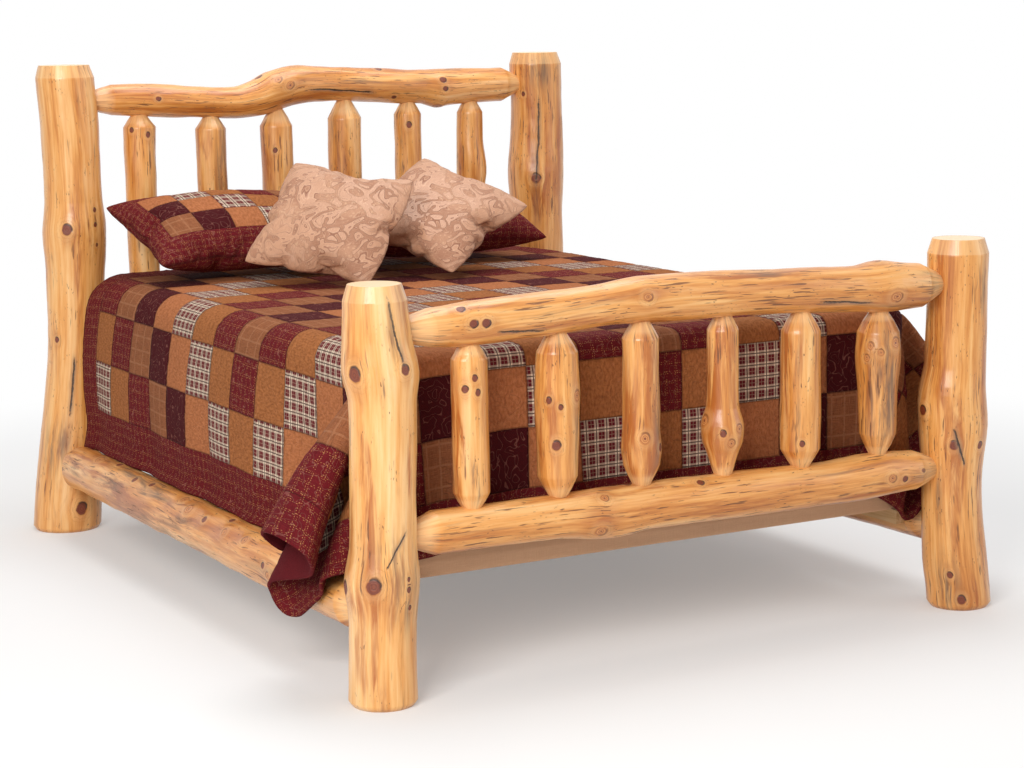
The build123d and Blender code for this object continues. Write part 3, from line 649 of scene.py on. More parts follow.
# Knots are (degrees round the log, place along it, radius, swell), stains are (degrees round
# the log, place along it, half width, half length, kind). Degrees turn from +X to +Y on a post
# or spindle, from +Y to +Z on a cross rail and from +Z to +X on a side rail.
logs = {
    "head_post_left": {
        "tone": 0.02,
        "knots": [(-122, 0.941, 0.015, 0.006), (-66, 0.997, 0.006, 0.0), (-68, 0.952, 0.006, 0.0),
            (-66, 0.89, 0.005, 0.0), (-86, 0.076, 0.017, 0.003), (-150, 0.6, 0.008, 0.0)],
        "stains": [(-91, 1.304, 0.012, 0.12, "amber"), (-96, 1.031, 0.016, 0.1, "amber"),
            (-112, 0.46, 0.004, 0.1, "crack"), (-140, 0.27, 0.05, 0.08, "grey")]},
    "head_post_right": {
        "tone": -0.03,
        "knots": [(-119, 1.018, 0.014, 0.006), (-150, 1.3, 0.007, 0.0)],
        "stains": [(-119, 1.02, 0.012, 0.16, "grey"), (-110, 1.38, 0.05, 0.06, "grey"),
            (-116, 1.15, 0.004, 0.16, "crack"), (-80, 1.0, 0.05, 0.2, "amber")]},
    "foot_post_left": {
        "tone": 0.05,
        "knots": [(-156, 0.788, 0.016, 0.003), (-76, 0.797, 0.011, 0.002),
            (-129, 0.3, 0.016, 0.004), (170, 0.285, 0.014, 0.004), (-71, 0.309, 0.005, 0.0),
            (-71, 0.285, 0.006, 0.0), (-67, 0.241, 0.005, 0.0)],
        "stains": [(-122, 0.032, 0.018, 0.05, "amber"), (-120, 0.257, 0.02, 0.04, "amber"),
            (-84, 0.885, -0.01, 0.085, "crack"), (-92, 0.38, 0.03, 0.045, "crack"),
            (-166, 0.251, 0.02, 0.03, "amber"), (-112, 0.361, 0.028, 0.07, "grey"),
            (-90, 0.86, 0.014, 0.05, "grey"), (-75, 0.27, 0.03, 0.08, "grey")]},
    "foot_post_right": {
        "tone": -0.01,
        "knots": [(-127, 0.452, 0.011, 0.002), (-76, 0.447, 0.009, 0.002),
            (177, 0.538, 0.012, 0.007), (-124, 0.032, 0.011, 0.002), (-140, 0.1, 0.008, 0.001)],
        "stains": [(-159, 0.915, 0.012, 0.1, "amber"), (-72, 0.829, 0.01, 0.09, "grey"),
            (-118, 0.445, -0.018, 0.055, "crack"), (-155, 0.302, 0.01, 0.07, "grey"),
            (-145, 0.072, 0.03, 0.08, "grey"), (-100, 0.05, 0.05, 0.06, "amber")]},
    "head_top_rail": {
        "tone": -0.04,
        "knots": [(147, -0.123, 0.012, 0.004), (172, -0.086, 0.012, 0.004),
            (94, -0.169, 0.01, 0.0), (172, -0.527, 0.007, 0.0), (154, 0.469, 0.01, 0.002),
            (-179, 0.476, 0.008, 0.001), (-116, 0.458, 0.013, 0.009), (-138, 0.294, 0.007, 0.0)],
        "stains": [(168, 0.12, 0.01, 0.16, "grey"), (177, 0.391, 0.02, 0.04, "grey"),
            (-160, 0.1, 0.004, 0.13, "crack")]},
    "head_lower_rail": {
        "tone": 0.0,
        "knots": [(-160, 0.3, 0.012, 0.003)]},
    "foot_top_rail": {
        "tone": -0.02,
        "knots": [(129, -0.655, 0.009, 0.002), (173, -0.633, 0.01, 0.002),
            (175, -0.599, 0.01, 0.002), (167, -0.158, 0.011, 0.003), (-163, 0.59, 0.014, 0.003),
            (85, 0.565, 0.016, 0.008)],
        "stains": [(155, -0.22, 0.012, 0.14, "amber"), (121, 0.218, 0.02, 0.06, "grey"),
            (-131, 0.581, 0.012, 0.1, "grey"), (180, 0.74, 0.05, 0.06, "grey"),
            (-152, 0.44, 0.004, 0.09, "crack"), (-150, -0.5, 0.006, 0.07, "crack")]},
    "foot_lower_rail": {
        "tone": -0.02,
        "knots": [(133, -0.276, 0.01, 0.003), (-149, -0.294, 0.014, 0.007),
            (-178, 0.585, 0.011, 0.003), (-171, 0.628, 0.008, 0.001), (172, 0.693, 0.006, 0.0)],
        "stains": [(-172, 0.66, 0.01, 0.1, "grey"), (180, -0.3, 0.03, 0.05, "amber")]},
    "side_rail_left": {
        "tone": -0.02,
        "knots": [(-19, 0.737, 0.015, 0.004), (-4, 0.612, 0.009, 0.002),
            (-29, 0.414, 0.01, 0.002), (-20, 0.301, 0.009, 0.002), (-19, 0.054, 0.013, 0.003),
            (-38, -0.03, 0.016, 0.005), (-44, -0.15, 0.009, 0.002), (-49, -0.297, 0.01, 0.003),
            (-12, -0.261, 0.008, 0.001), (-45, -0.423, 0.011, 0.003), (-78, -0.571, 0.008, 0.001),
            (-94, -0.61, 0.01, 0.003)],
        "stains": [(-19, 0.74, 0.05, 0.1, "amber"), (-60, 0.55, 0.04, 0.1, "grey"),
            (-40, 0.2, 0.03, 0.08, "grey"), (-110, 0.1, 0.03, 0.3, "grey"),
            (-10, 0.35, 0.02, 0.35, "grey"), (-75, 0.85, 0.03, 0.08, "grey"),
            (-70, -0.05, 0.02, 0.1, "grey"), (-90, 0.35, 0.05, 0.35, "amber"),
            (-60, -0.3, 0.05, 0.25, "amber"), (-100, -0.7, 0.03, 0.2, "grey")]},
    "side_rail_right": {
        "tone": -0.05,
        "knots": [(70, 0.5, 0.013, 0.003), (100, -0.3, 0.012, 0.003), (60, -0.8, 0.01, 0.002)],
        "stains": [(80, 0.0, 0.05, 0.4, "grey")]},
    "foot_spindle_1": {
        "tone": 0.01,
        "knots": [(-101, 0.753, 0.007, 0.001), (-132, 0.728, 0.008, 0.002),
            (-92, 0.719, 0.007, 0.001)],
        "stains": [(-112, 0.52, 0.006, 0.05, "grey"), (-168, 0.64, 0.018, 0.16, "amber")]},
    "foot_spindle_2": {
        "tone": -0.01,
        "knots": [(-142, 0.68, 0.007, 0.001), (-58, 0.687, 0.012, 0.003),
            (-111, 0.664, 0.006, 0.001), (-123, 0.572, 0.011, 0.002)],
        "stains": [(-60, 0.62, 0.012, 0.12, "grey"), (-170, 0.55, 0.016, 0.14, "amber")]},
    "foot_spindle_3": {
        "tone": 0.0,
        "knots": [(-111, 0.563, 0.012, 0.003), (-53, 0.535, 0.008, 0.001)],
        "stains": [(-60, 0.6, 0.014, 0.12, "grey"), (-172, 0.62, 0.016, 0.16, "amber"),
            (-80, 0.5, 0.03, 0.05, "amber")]},
    "foot_spindle_4": {
        "tone": 0.01,
        "knots": [(175, 0.58, 0.013, 0.005), (-123, 0.552, 0.008, 0.002),
            (-75, 0.561, 0.01, 0.004), (-100, 0.526, 0.01, 0.003)],
        "stains": [(-172, 0.7, 0.014, 0.12, "amber")]},
    "foot_spindle_5": {
        "tone": -0.02,
        "knots": [(-120, 0.5, 0.007, 0.001)],
        "stains": [(-165, 0.66, 0.015, 0.16, "amber"), (-139, 0.726, 0.008, 0.08, "grey"),
            (-129, 0.556, 0.01, 0.05, "grey")]},
    "foot_spindle_6": {
        "tone": -0.06,
        "knots": [(-147, 0.731, 0.009, 0.003), (-79, 0.737, 0.013, 0.005),
            (-121, 0.714, 0.008, 0.003), (-156, 0.7, 0.008, 0.003)],
        "stains": [(-110, 0.58, 0.06, 0.14, "grey"), (-60, 0.7, 0.05, 0.1, "grey"),
            (-150, 0.62, 0.03, 0.12, "amber")]},
    "head_spindle_1": {
        "tone": 0.0,
        "knots": [(-138, 1.233, 0.007, 0.001), (-78, 1.217, 0.008, 0.001)]},
    "head_spindle_2": {
        "tone": -0.01,
        "stains": [(-70, 1.1, 0.02, 0.2, "grey")]},
    "head_spindle_3": {
        "tone": 0.01,
        "knots": [(-120, 1.15, 0.007, 0.001)]},
    "head_spindle_4": {
        "tone": -0.02,
        "stains": [(-154, 1.199, 0.012, 0.06, "grey"), (-130, 1.109, 0.012, 0.06, "grey")]},
    "head_spindle_5": {
        "tone": 0.0,
        "knots": [(-111, 1.213, 0.009, 0.001)],
        "stains": [(-150, 1.1, 0.006, 0.15, "grey")]},
    "head_spindle_6": {
        "tone": 0.0,
        "knots": [(-41, 1.05, 0.012, 0.004)]},
}
for number, (logName, logFacts) in enumerate(logs.items(), 1):
    logAxis = 1 if "side" in logName else 0 if "rail" in logName else 2
    planed = None
    if logAxis == 1:
        low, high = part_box(logName.replace("side_rail", "cleat"))
        planed = (-1, low.x, high.y) if "left" in logName else (1, high.x, high.y)
    piece = logMesh(logName, logAxis, readRings(logName, logAxis), logFacts, number, planed)
    finishPiece(piece, bodyOf[logName], "peeled_log", logName)
print("logs are made")

plainNodes = {"slat_": planedBoard("sawnBoard"), "cleat_": planedBoard("sawnCleat"),
              "rail_": steelLook, "cleat_screws": steelLook, "slat_screws": steelLook}
for nodeName, node in frame["nodes"].items():
    for start, look in plainNodes.items():      # the last one that fits holds
        if nodeName.startswith(start):
            node.data.materials.clear()
            node.data.materials.append(look)


class Recipe:
    # a Geometry Nodes tree with named inputs, which grows a mesh along a path of edges
    def __init__(self, name, **inputs):
        self.tree = bpy.data.node_groups.new(name, "GeometryNodeTree")
        self.doors = self.tree.interface
        self.doors.new_socket("Path", in_out="INPUT", socket_type="NodeSocketGeometry")
        for label, value in inputs.items():
            kind = "NodeSocketInt" if isinstance(value, int) else "NodeSocketFloat"
            self.doors.new_socket(label, in_out="INPUT", socket_type=kind).default_value = value
        self.doors.new_socket("Finish", in_out="INPUT", socket_type="NodeSocketMaterial")
        self.doors.new_socket("Mesh", in_out="OUTPUT", socket_type="NodeSocketGeometry")
        self.inputs = self.tree.nodes.new("NodeGroupInput").outputs
        self.path = self.node("MeshToCurve", sockets={0: self.inputs["Path"]})

    def node(self, kind, settings=None, sockets=None, output=0):
        made = self.tree.nodes.new(kind if "Node" in kind else "GeometryNode" + kind)
        for name, value in (settings or {}).items():
            setattr(made, name, value)
        for name, value in (sockets or {}).items():
            if isinstance(value, bpy.types.NodeSocket):
                self.tree.links.new(value, made.inputs[name])
            else:
                made.inputs[name].default_value = value
        return made.outputs[output]

    def close(self, geometry):
        whole = self.node("RealizeInstances", sockets={0: geometry})
        dressed = self.node("SetMaterial", sockets={0: whole, "Material": self.inputs["Finish"]})
        self.tree.links.new(dressed, self.tree.nodes.new("NodeGroupOutput").inputs[0])
        return self

    def grow(self, name, loops, look, **values):
        # loops are closed rows of points; the result is one plain mesh
        points, edges = [], []
        for loop in loops:
            first, count = len(points), len(loop)
            points += [tuple(float(c) for c in p) for p in loop]
            edges += [(first + i, first + (i + 1) % count) for i in range(count)]
        carrier = addThing(name + "_path", addMesh(name + "_path", points, (), edges))
        modifier = carrier.modifiers.new("grow", "NODES")
        modifier.node_group = self.tree
        values["Finish"] = look
        for item in self.doors.items_tree:
            if item.in_out == "INPUT" and item.name in values:
                modifier[item.identifier] = values[item.name]
        grown = plainMesh(carrier)
        grown.name = name
        bpy.data.objects.remove(carrier)
        return addThing(name, grown)


def plainMesh(thing):
    # what a thing's modifiers make of it, as a mesh of its own
    bpy.context.view_layer.update()
    evaluated = thing.evaluated_get(bpy.context.evaluated_depsgraph_get())
    made = bpy.data.meshes.new_from_object(evaluated)
    thing.modifiers.clear()
    return made


def sewnCord():
    recipe = Recipe("sewnCord", Radius=0.004, Spacing=0.012)
    even = recipe.node("ResampleCurve", {"mode": "LENGTH"},
                       {"Curve": recipe.path, "Length": recipe.inputs["Spacing"]})
    outline = recipe.node("CurvePrimitiveCircle", None,
                          {"Resolution": 10, "Radius": recipe.inputs["Radius"]})
    tube = recipe.node("CurveToMesh", None, {"Curve": even, "Profile Curve": outline})
    return recipe.close(recipe.node("SetShadeSmooth", None, {0: tube}))


def stitchRow():
    recipe = Recipe("stitchRow", Pitch=0.008, Length=0.005, Radius=0.0006, Seed=3)
    spots = recipe.node("CurveToPoints", {"mode": "LENGTH"},
                        {"Curve": recipe.path, "Length": recipe.inputs["Pitch"]})
    stitch = recipe.node("MeshCylinder", None,
                         {"Vertices": 6, "Radius": recipe.inputs["Radius"],
                          "Depth": recipe.inputs["Length"]})
    size = recipe.node("FunctionNodeRandomValue", {"data_type": "FLOAT"},
                       {2: 0.85, 3: 1.1, "Seed": recipe.inputs["Seed"]}, 1)
    return recipe.close(recipe.node(
        "InstanceOnPoints", None,
        {"Points": spots, "Instance": stitch, "Rotation": spots.node.outputs["Rotation"],
         "Scale": size}))


cordRecipe = sewnCord()
stitchRecipe = stitchRow()


# Bedding cloths

patchCloths = {
    "wine": ((0.088, 0.006, 0.009), (0.168, 0.013, 0.017)),
    "gold": (0.60, 0.30, 0.11),
    # rows of gold dashes: whether they run up, how far they are moved, pitch and dash length
    "dashRows": ((True, 0.0, 0.0300, 0.0072), (False, 0.0, 0.0245, 0.0061),
                 (True, 0.0052, 0.0300, 0.0066), (False, 0.0048, 0.0245, 0.0078)),
    "dashWidth": 0.0010,
    "homespun": ((0.190, 0.062, 0.024), (0.350, 0.132, 0.060)),
    "check": (0.46, 0.22, 0.115),
    "checkPitch": (0.040, 0.052),
    "dark": ((0.048, 0.004, 0.006), (0.115, 0.014, 0.015)),
    "pink": ((0.350, 0.118, 0.044), (0.490, 0.180, 0.074)),
    "tan": ((0.270, 0.092, 0.029), (0.420, 0.155, 0.054)),
    "plaidPitch": 0.0300,
    "plaid": ((0.130, 0.012, 0.018), (0.90, 0.74, 0.56)),
    "plaidThin": (0.60, 0.42, 0.30), "plaidRule": (0.030, 0.012, 0.012),
    # seam is painted shade for the sewn grooves between patches
    "thread": (0.46, 0.20, 0.15), "seam": (0.020, 0.006, 0.006),
}


def patchwork(name, facts):
    look, cloths = Look(name), patchCloths
    flat = look.attribute("flat")
    x, y, back = look.parts(flat)
    patch, (countX, countY) = facts["patch"], facts["count"]
    gridX, gridY = (x - facts["from"][0]) / patch, (y - facts["from"][1]) / patch
    columnX, columnY = gridX.floor(), gridY.floor()
    seam = 0.5 - (gridX - columnX - 0.5).size().most((gridY - columnY - 0.5).size())
    outside = (gridX / countX - 0.5).size().most((gridY / countY - 0.5).size())
    border = outside.rise(0.4998, 0.5002).most(back)
    if facts["mirrored"]:
        columnX, columnY = ((count - 1) / 2 - (column - (count - 1) / 2).size()
                            for column, count in ((columnX, countX), (columnY, countY)))
    kind = (columnX + columnY + facts["first"]).wrap(6.0)

    slub = look.noise(look.stretch(flat, (1.0, 0.04, 1.0)), 900.0, 2.0)
    weft = look.noise(look.stretch(flat, (0.04, 1.0, 1.0)), 900.0, 2.0)
    weave = slub * 0.5 + weft * 0.5
    mottle = look.noise(look.stretch(flat, (1.0, 0.45, 1.0)), 170.0, 3.0).rise(0.30, 0.70)
    # a pale quilting thread that wanders in loops: the level lines of a smooth field
    field = look.noise(look.shift(flat, (2.0, 1.4, 0.0)), 34.0, 0.6, 0.4, 0.5)
    stitch = ((field * 5.0).wrap(1.0) - 0.5).size().rise(0.085, 0.03)

    # burgundy with rows of gold dashes, each on for half its length; also the border
    gold, width = None, cloths["dashWidth"]
    for upwards, moved, pitch, dash in cloths["dashRows"]:
        along, across = (y, x - moved) if upwards else (x, y - moved)
        row = (across.wrap(pitch) - pitch / 2).size().rise(width, width * 0.5)
        row = row * along.wrap(dash).rise(dash * 0.42, dash * 0.52)
        gold = row if gold is None else gold.most(row)
    worn = look.noise(flat, 240.0, 2.0).rise(0.44, 0.58)
    wine = look.mix(gold * worn * 0.75, look.mix(weave.rise(0.3, 0.7), *cloths["wine"]),
                    cloths["gold"])
    # olive-brown homespun with a faint pale check
    checkX, checkY = ((way.wrap(pitch) - pitch / 2).size().rise(0.004, 0.001)
                      for way, pitch in zip((x, y), cloths["checkPitch"]))
    homespun = look.mix(weave.rise(0.32, 0.68), *cloths["homespun"])
    homespun = look.mix(checkX.most(checkY) * 0.35, homespun, cloths["check"])
    # darker burgundy with a close cross weave
    cross = ((x * 900.0).sine() * (y * 900.0).sine()).rise(0.1, 0.8)
    dark = look.mix(cross * 0.4 + weave * 0.2, *cloths["dark"])
    pink = look.mix(mottle, *cloths["pink"])
    tan = look.mix(mottle, *cloths["tan"])
    # cream, burgundy and black plaid
    pitch = cloths["plaidPitch"]
    bands = [way.wrap(pitch) / pitch for way in (x, y)]
    creamX, creamY = ((band - 0.78).size().rise(0.24, 0.18) for band in bands)
    ruledX, ruledY = ((band - 0.78).size().rise(0.060, 0.04) for band in bands)
    thinX, thinY = ((band - 0.28).size().rise(0.035, 0.02) for band in bands)
    flecks = slub.rise(0.40, 0.60) * weft.rise(0.40, 0.60)
    pale = (creamX * 0.52 + creamY * 0.52) * (0.75 + 0.35 * flecks)
    plaid = look.mix(pale.least(1.0), *cloths["plaid"])
    plaid = look.mix(thinX.most(thinY) * 0.35, plaid, cloths["plaidThin"])
    plaid = look.mix(ruledX.most(ruledY) * 0.85, plaid, cloths["plaidRule"])

    colour = wine
    for number, cloth in enumerate((homespun, dark, pink, plaid, tan), 1):
        colour = look.mix(kind.equals(float(number)), colour, cloth)
    colour = look.mix(border, colour, wine)
    colour = look.mix(look.noise(flat, 9.0, 2.0) * 0.16, colour, (0.0, 0.0, 0.0))
    onWine = kind.equals(0.0).most(kind.equals(2.0)).most(border)
    colour = look.mix(stitch * (0.04 + 0.20 * onWine), colour, cloths["thread"])
    # near each seam between patches the cloth is darkened: painted shade in the sewn groove
    groove = seam.rise(0.030, 0.0) * (1.0 - border)
    colour = look.mix(groove * 0.5, colour, cloths["seam"])
    crinkle = look.noise(flat, 110.0, 3.0, 0.6, 0.4)
    height = crinkle * 0.9 + weave * 0.22 - stitch * 0.45 - groove * 0.8
    return look.surface(colour, 0.93 - crinkle * 0.08, height, facts["depth"],
                        Specular_IOR_Level=0.10)


def quiltLining(facts):
    # cream cotton, with a burgundy facing turned in all round
    look = Look("quiltLining")
    place = look.place()
    x, y, _ = look.parts(look.attribute("flat"))
    weave = look.noise(place, 900.0, 2.0)
    crinkle = look.noise(place, 90.0, 3.0)
    cream, wine = (look.mix(weave.rise(0.3, 0.7), *facts[shades]) for shades in ("cream", "wine"))
    (left, foot), (right, head), facing = facts["from"], facts["to"], facts["facing"]
    awayX = (x - (left + right) / 2).size() - ((right - left) / 2 - facing)
    awayY = (y - (foot + head) / 2).size() - ((head - foot) / 2 - facing)
    colour = look.mix(awayX.most(awayY).rise(-0.0005, 0.0005), cream, wine)
    return look.surface(colour, 0.92, crinkle + weave * 0.3, 0.0012, Specular_IOR_Level=0.10)


damaskShades = {
    "satin": ((0.45, 0.225, 0.130), (0.57, 0.310, 0.185)),
    "leaf": (0.31, 0.132, 0.072), "rib": (0.57, 0.31, 0.185), "berry": (0.60, 0.36, 0.22),
    # pale is a painted highlight beside the outlines
    "outline": (0.235, 0.092, 0.050), "pale": (0.64, 0.39, 0.25),
}


def damask():
    # satin ground with large scrolling leaves, outlined and filled in two darker weaves, and a painted highlight
    # beside the outlines
    look, shades = Look("damask"), damaskShades
    flat = look.attribute("flat")
    drift = look.noise(flat, 6.0, 2.0, output="Color")
    swayed = look.shift(flat, look.stretch(drift, (0.06, 0.06, 0.06)))
    scroll = look.noise(swayed, 15.0, 1.2, 0.5, 1.6)
    level = scroll * 8.0
    inLevel = (level.wrap(1.0) - 0.5).size()
    outline = inLevel.rise(0.40, 0.47)
    leaf = level.floor().wrap(3.0).equals(1.0)
    vein = ((scroll * 30.0 + look.noise(swayed, 40.0, 1.0) * 3.0).wrap(1.0) - 0.5).size()
    ribs = vein.rise(0.10, 0.03)
    region = look.noise(flat, 8.0, 1.0).rise(0.42, 0.55)
    berries = look.node("TexVoronoi", {"feature": "F1"}, {"Vector": swayed, "Scale": 95.0},
                        "Distance").rise(0.36, 0.26) * (1.0 - region)
    satin = look.noise(look.stretch(flat, (1.0, 0.05, 1.0)), 1200.0, 2.0)
    # a pale band beside each outline is a painted highlight, like sheen on a raised edge
    pale = (inLevel.rise(0.30, 0.36) * inLevel.rise(0.41, 0.37)) * 0.45
    colour = look.mix(satin.rise(0.3, 0.7), *shades["satin"])
    for share, shade in ((leaf * (0.20 + 0.45 * region), "leaf"), (ribs * leaf * 0.45, "rib"),
                         (berries * leaf * 0.6, "berry"),
                         (outline * (0.22 + 0.48 * region), "outline"), (pale, "pale")):
        colour = look.mix(share, colour, shades[shade])
    height = satin * 0.25 + outline * 0.55 - leaf * 0.35 + ribs * leaf * 0.3
    roughness = 0.50 + leaf * 0.22 + outline * 0.1
    return look.surface(colour, roughness, height, 0.0010, Sheen_Weight=0.05,
                        Sheen_Roughness=0.35)


def springCloth():
    look = Look("springCloth")
    place = look.place()
    threads = look.noise(look.stretch(place, (1.0, 1.0, 0.04)), 800.0, 2.0) \
        + look.noise(look.stretch(place, (0.04, 0.04, 1.0)), 800.0, 2.0)
    foldAndShade = look.grain(place, 0.25, 10.0, 3.0)
    colour = look.mix(threads * 0.5, (0.50, 0.275, 0.150), (0.70, 0.430, 0.260))
    # darker streaks in the folds of the cover are painted shade
    colour = look.mix(foldAndShade * 0.22, colour, (0.34, 0.20, 0.12))
    return look.surface(colour, 0.9, threads + foldAndShade * 2.0, 0.0007)


def ticking():
    # white knitted ticking, quilted in a wavy diamond on the border and the panels, with painted shade in its valleys
    look = Look("ticking")
    place = look.place()
    x, y, z = look.parts(place)
    crest = (((x + y) * 42.0).sine() * 0.008 + z).wrap(0.060) - 0.030
    valleyAndShade = crest.size().rise(0.009, 0.0)
    knit = look.noise(place, 1100.0, 2.0)
    cloud = look.noise(place, 30.0, 3.0)
    colour = look.mix(knit * 0.5 + cloud * 0.3, (0.70, 0.69, 0.67), (0.88, 0.87, 0.85))
    # the quilted valleys are darkened with painted shade
    colour = look.mix(valleyAndShade * 0.35, colour, (0.55, 0.53, 0.50))
    return look.surface(colour, 0.85, knit * 0.15 + cloud * 0.2 - valleyAndShade * 1.2, 0.0030)


def plainThread(name, colour):
    look = Look(name)
    twist = look.noise(look.place(), 1500.0, 2.0)
    dark = tuple(c * 0.6 for c in colour)
    return look.surface(look.mix(twist, dark, colour), 0.8, twist, 0.0003)


# The mattress and the box spring

block = {
    "corner": 0.070,
    "cornerSteps": 10,
    "sideStep": 0.045,
    "edgeSteps": 5,
    "caps": (0.90, 0.72, 0.50, 0.25),     # rings on its top and bottom, as shares of it
    "cordStep": 0.012,
    "thread": 0.0007,         # radius of its stitches and staples
}

mattress = {
    "edge": 0.028,
    "side": 0.002,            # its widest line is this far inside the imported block
    "levels": 24,
    "tape": 0.0055,           # radius of the corded tape round its top and bottom
    "tapeIn": 0.012,          # from the side of the mattress
    "tapeFrom": 0.013,        # from its top or bottom
    "pinch": 0.006,           # how far the side draws in beside a tape
    "pinchOver": 1.6,         # levels
    "rows": 3,                # puffs up the side
    "puff": 0.0035,
    "seamIn": 0.0015, "seamFrom": 0.004,
    "stitchPitch": 0.014, "stitchLength": 0.008,
}

boxSpring = {
    "edge": 0.009,
    "levels": 10,
    "belly": 0.0035,
    "cord": 0.0040,
    "cordUnder": 0.010,
    "wave": 0.0030,           # of the cover's lower edge
    "staplePitch": 0.055,
    "stapleLength": 0.012,
    "stapleIn": 0.010, "stapleOut": 0.0002,
    "lapRise": 0.030,         # where the wrapped cover's fold shows above the lower edge
    "lapHigh": 0.014,
}


def blockOutline(halfX, halfY):
    # points round a rounded rectangle, anticlockwise, with their outward directions
    corner, steps = block["corner"], block["cornerSteps"]
    middles = [np.array([signX * (halfX - corner), signY * (halfY - corner)])
               for signX, signY in ((1, 1), (-1, 1), (-1, -1), (1, -1))]
    points, outward = [], []
    for quarter, middle in enumerate(middles):
        for step in range(steps + 1):
            turn = math.pi / 2 * (quarter + step / steps)
            way = np.array([math.cos(turn), math.sin(turn)])
            points.append(middle + corner * way)
            outward.append(way)
        here, ahead = points[-1], middles[(quarter + 1) % 4] + corner * way
        pieces = int(np.linalg.norm(ahead - here) / block["sideStep"])
        for step in range(1, pieces):
            points.append(here + (ahead - here) * step / pieces)
            outward.append(way)
    return np.array(points), np.array(outward)


def blockMesh(name, halfX, halfY, profile, look):
    # profile is (how far in, height, how far the ring waves up and down) from bottom to top
    outline, outward = blockOutline(halfX, halfY)
    count = len(outline)
    travel = np.cumsum(np.linalg.norm(np.roll(outline, 1, 0) - outline, axis=1))
    ripple = np.sin(travel * 17.0) + 0.6 * np.sin(travel * 41.0 + 1.3)
    caps = [[np.c_[(outline - outward * inset) * share, np.full(count, height)]
             for share in block["caps"]] for inset, height, _ in (profile[0], profile[-1])]
    walls = [np.c_[outline - outward * inset, height + wave * (ripple + 1.6) / 3.2]
             for inset, height, wave in profile]
    rings = caps[0][::-1] + walls + caps[1]
    points = np.concatenate(rings + [[[0, 0, profile[0][1]]], [[0, 0, profile[-1][1]]]])
    low, high, top = len(points) - 2, len(points) - 1, (len(rings) - 1) * count
    faces = gridFaces(len(rings), count, True)
    faces += [((c + 1) % count, c, low) for c in range(count)]
    faces += [(top + c, top + (c + 1) % count, high) for c in range(count)]
    return addPiece(name, points, faces, look)


def ringAt(halfX, halfY, inset, height):
    outline, outward = blockOutline(halfX, halfY)
    return np.c_[outline - outward * inset, np.full(len(outline), height)]


def edgeArc(radius, inward, height, rising):
    # a quarter turn from a side to a top, or from a bottom to a side
    steps = block["edgeSteps"]
    turns = [math.pi / 2 * i / steps for i in range(steps + 1)]
    arc = [(inward + radius - radius * math.cos(t), radius * math.sin(t)) for t in turns]
    if rising:
        return [(inset, height - radius + rise, 0.0) for inset, rise in arc]
    return [(inset, height + radius - rise, 0.0) for inset, rise in reversed(arc)]


def makeMattress():
    low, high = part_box("mattress")
    halfX, halfY = (high.x - low.x) / 2, (high.y - low.y) / 2
    edge, side, levels = mattress["edge"], mattress["side"], mattress["levels"]
    profile = edgeArc(edge, side, low.z, False)
    for level in range(1, levels):
        share = level / levels
        height = low.z + edge + share * (high.z - low.z - 2 * edge)
        puff = abs(math.sin(math.pi * mattress["rows"] * share)) ** 0.6
        near = min(share, 1 - share) * levels / mattress["pinchOver"]
        pinch = mattress["pinch"] * math.exp(-near ** 2)
        profile.append((side + mattress["puff"] * (1 - puff) + pinch, height, 0.0))
    profile += edgeArc(edge, side, high.z, True)
    body = blockMesh("mattress_body", halfX, halfY, profile, tickingLook)
    finishPiece(body, "mattress", "mattress_ticking", "mattress")
    tapes, seams = ([ringAt(halfX, halfY, inset, z) for z in (low.z + away, high.z - away)]
                    for inset, away in ((mattress["tapeIn"], mattress["tapeFrom"]),
                                        (mattress["seamIn"], edge + mattress["seamFrom"])))
    pieces = (cordRecipe.grow("mattress_tapes", tapes, tapeLook, Radius=mattress["tape"],
                              Spacing=block["cordStep"]),
              stitchRecipe.grow("mattress_stitches", seams, tapeLook, Radius=block["thread"],
                                Pitch=mattress["stitchPitch"],
                                Length=mattress["stitchLength"], Seed=5))
    for piece in pieces:
        finishPiece(piece, "mattress", "mattress_ticking")


def makeBoxSpring():
    low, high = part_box("box_spring")
    halfX, halfY = (high.x - low.x) / 2, (high.y - low.y) / 2
    edge, wave = boxSpring["edge"], boxSpring["wave"]
    lap, above = boxSpring["lapRise"], boxSpring["lapHigh"]
    profile = edgeArc(edge, 0.003, low.z, False)
    profile += [(0.0030, low.z + lap, 0.0), (0.0012, low.z + lap + 0.001, wave),
                (0.0010, low.z + lap + 0.010, wave)]
    for level in range(1, boxSpring["levels"]):
        share = level / boxSpring["levels"]
        height = low.z + lap + above + share * (high.z - low.z - lap - above - edge)
        profile.append((0.0010 + boxSpring["belly"] * math.sin(math.pi * share), height, 0.0))
    profile += edgeArc(edge, 0.001, high.z, True)
    body = blockMesh("box_spring_body", halfX, halfY, profile, springLook)
    finishPiece(body, "box_spring", "box_spring_cloth", "box_spring")
    ring = [ringAt(halfX, halfY, boxSpring["cord"] * 0.7, high.z - boxSpring["cordUnder"])]
    piece = cordRecipe.grow("box_spring_cord", ring, springLook, Radius=boxSpring["cord"],
                            Spacing=block["cordStep"])
    finishPiece(piece, "box_spring", "box_spring_cloth")
    inset, height = edge + boxSpring["stapleIn"], low.z - boxSpring["stapleOut"]
    ring = [ringAt(halfX, halfY, inset, height)]
    piece = stitchRecipe.grow("box_spring_staples", ring, steelLook, Seed=9,
                              Radius=block["thread"],
                              Pitch=boxSpring["staplePitch"], Length=boxSpring["stapleLength"])
    finishPiece(piece, "box_spring", "steel")


# The quilt

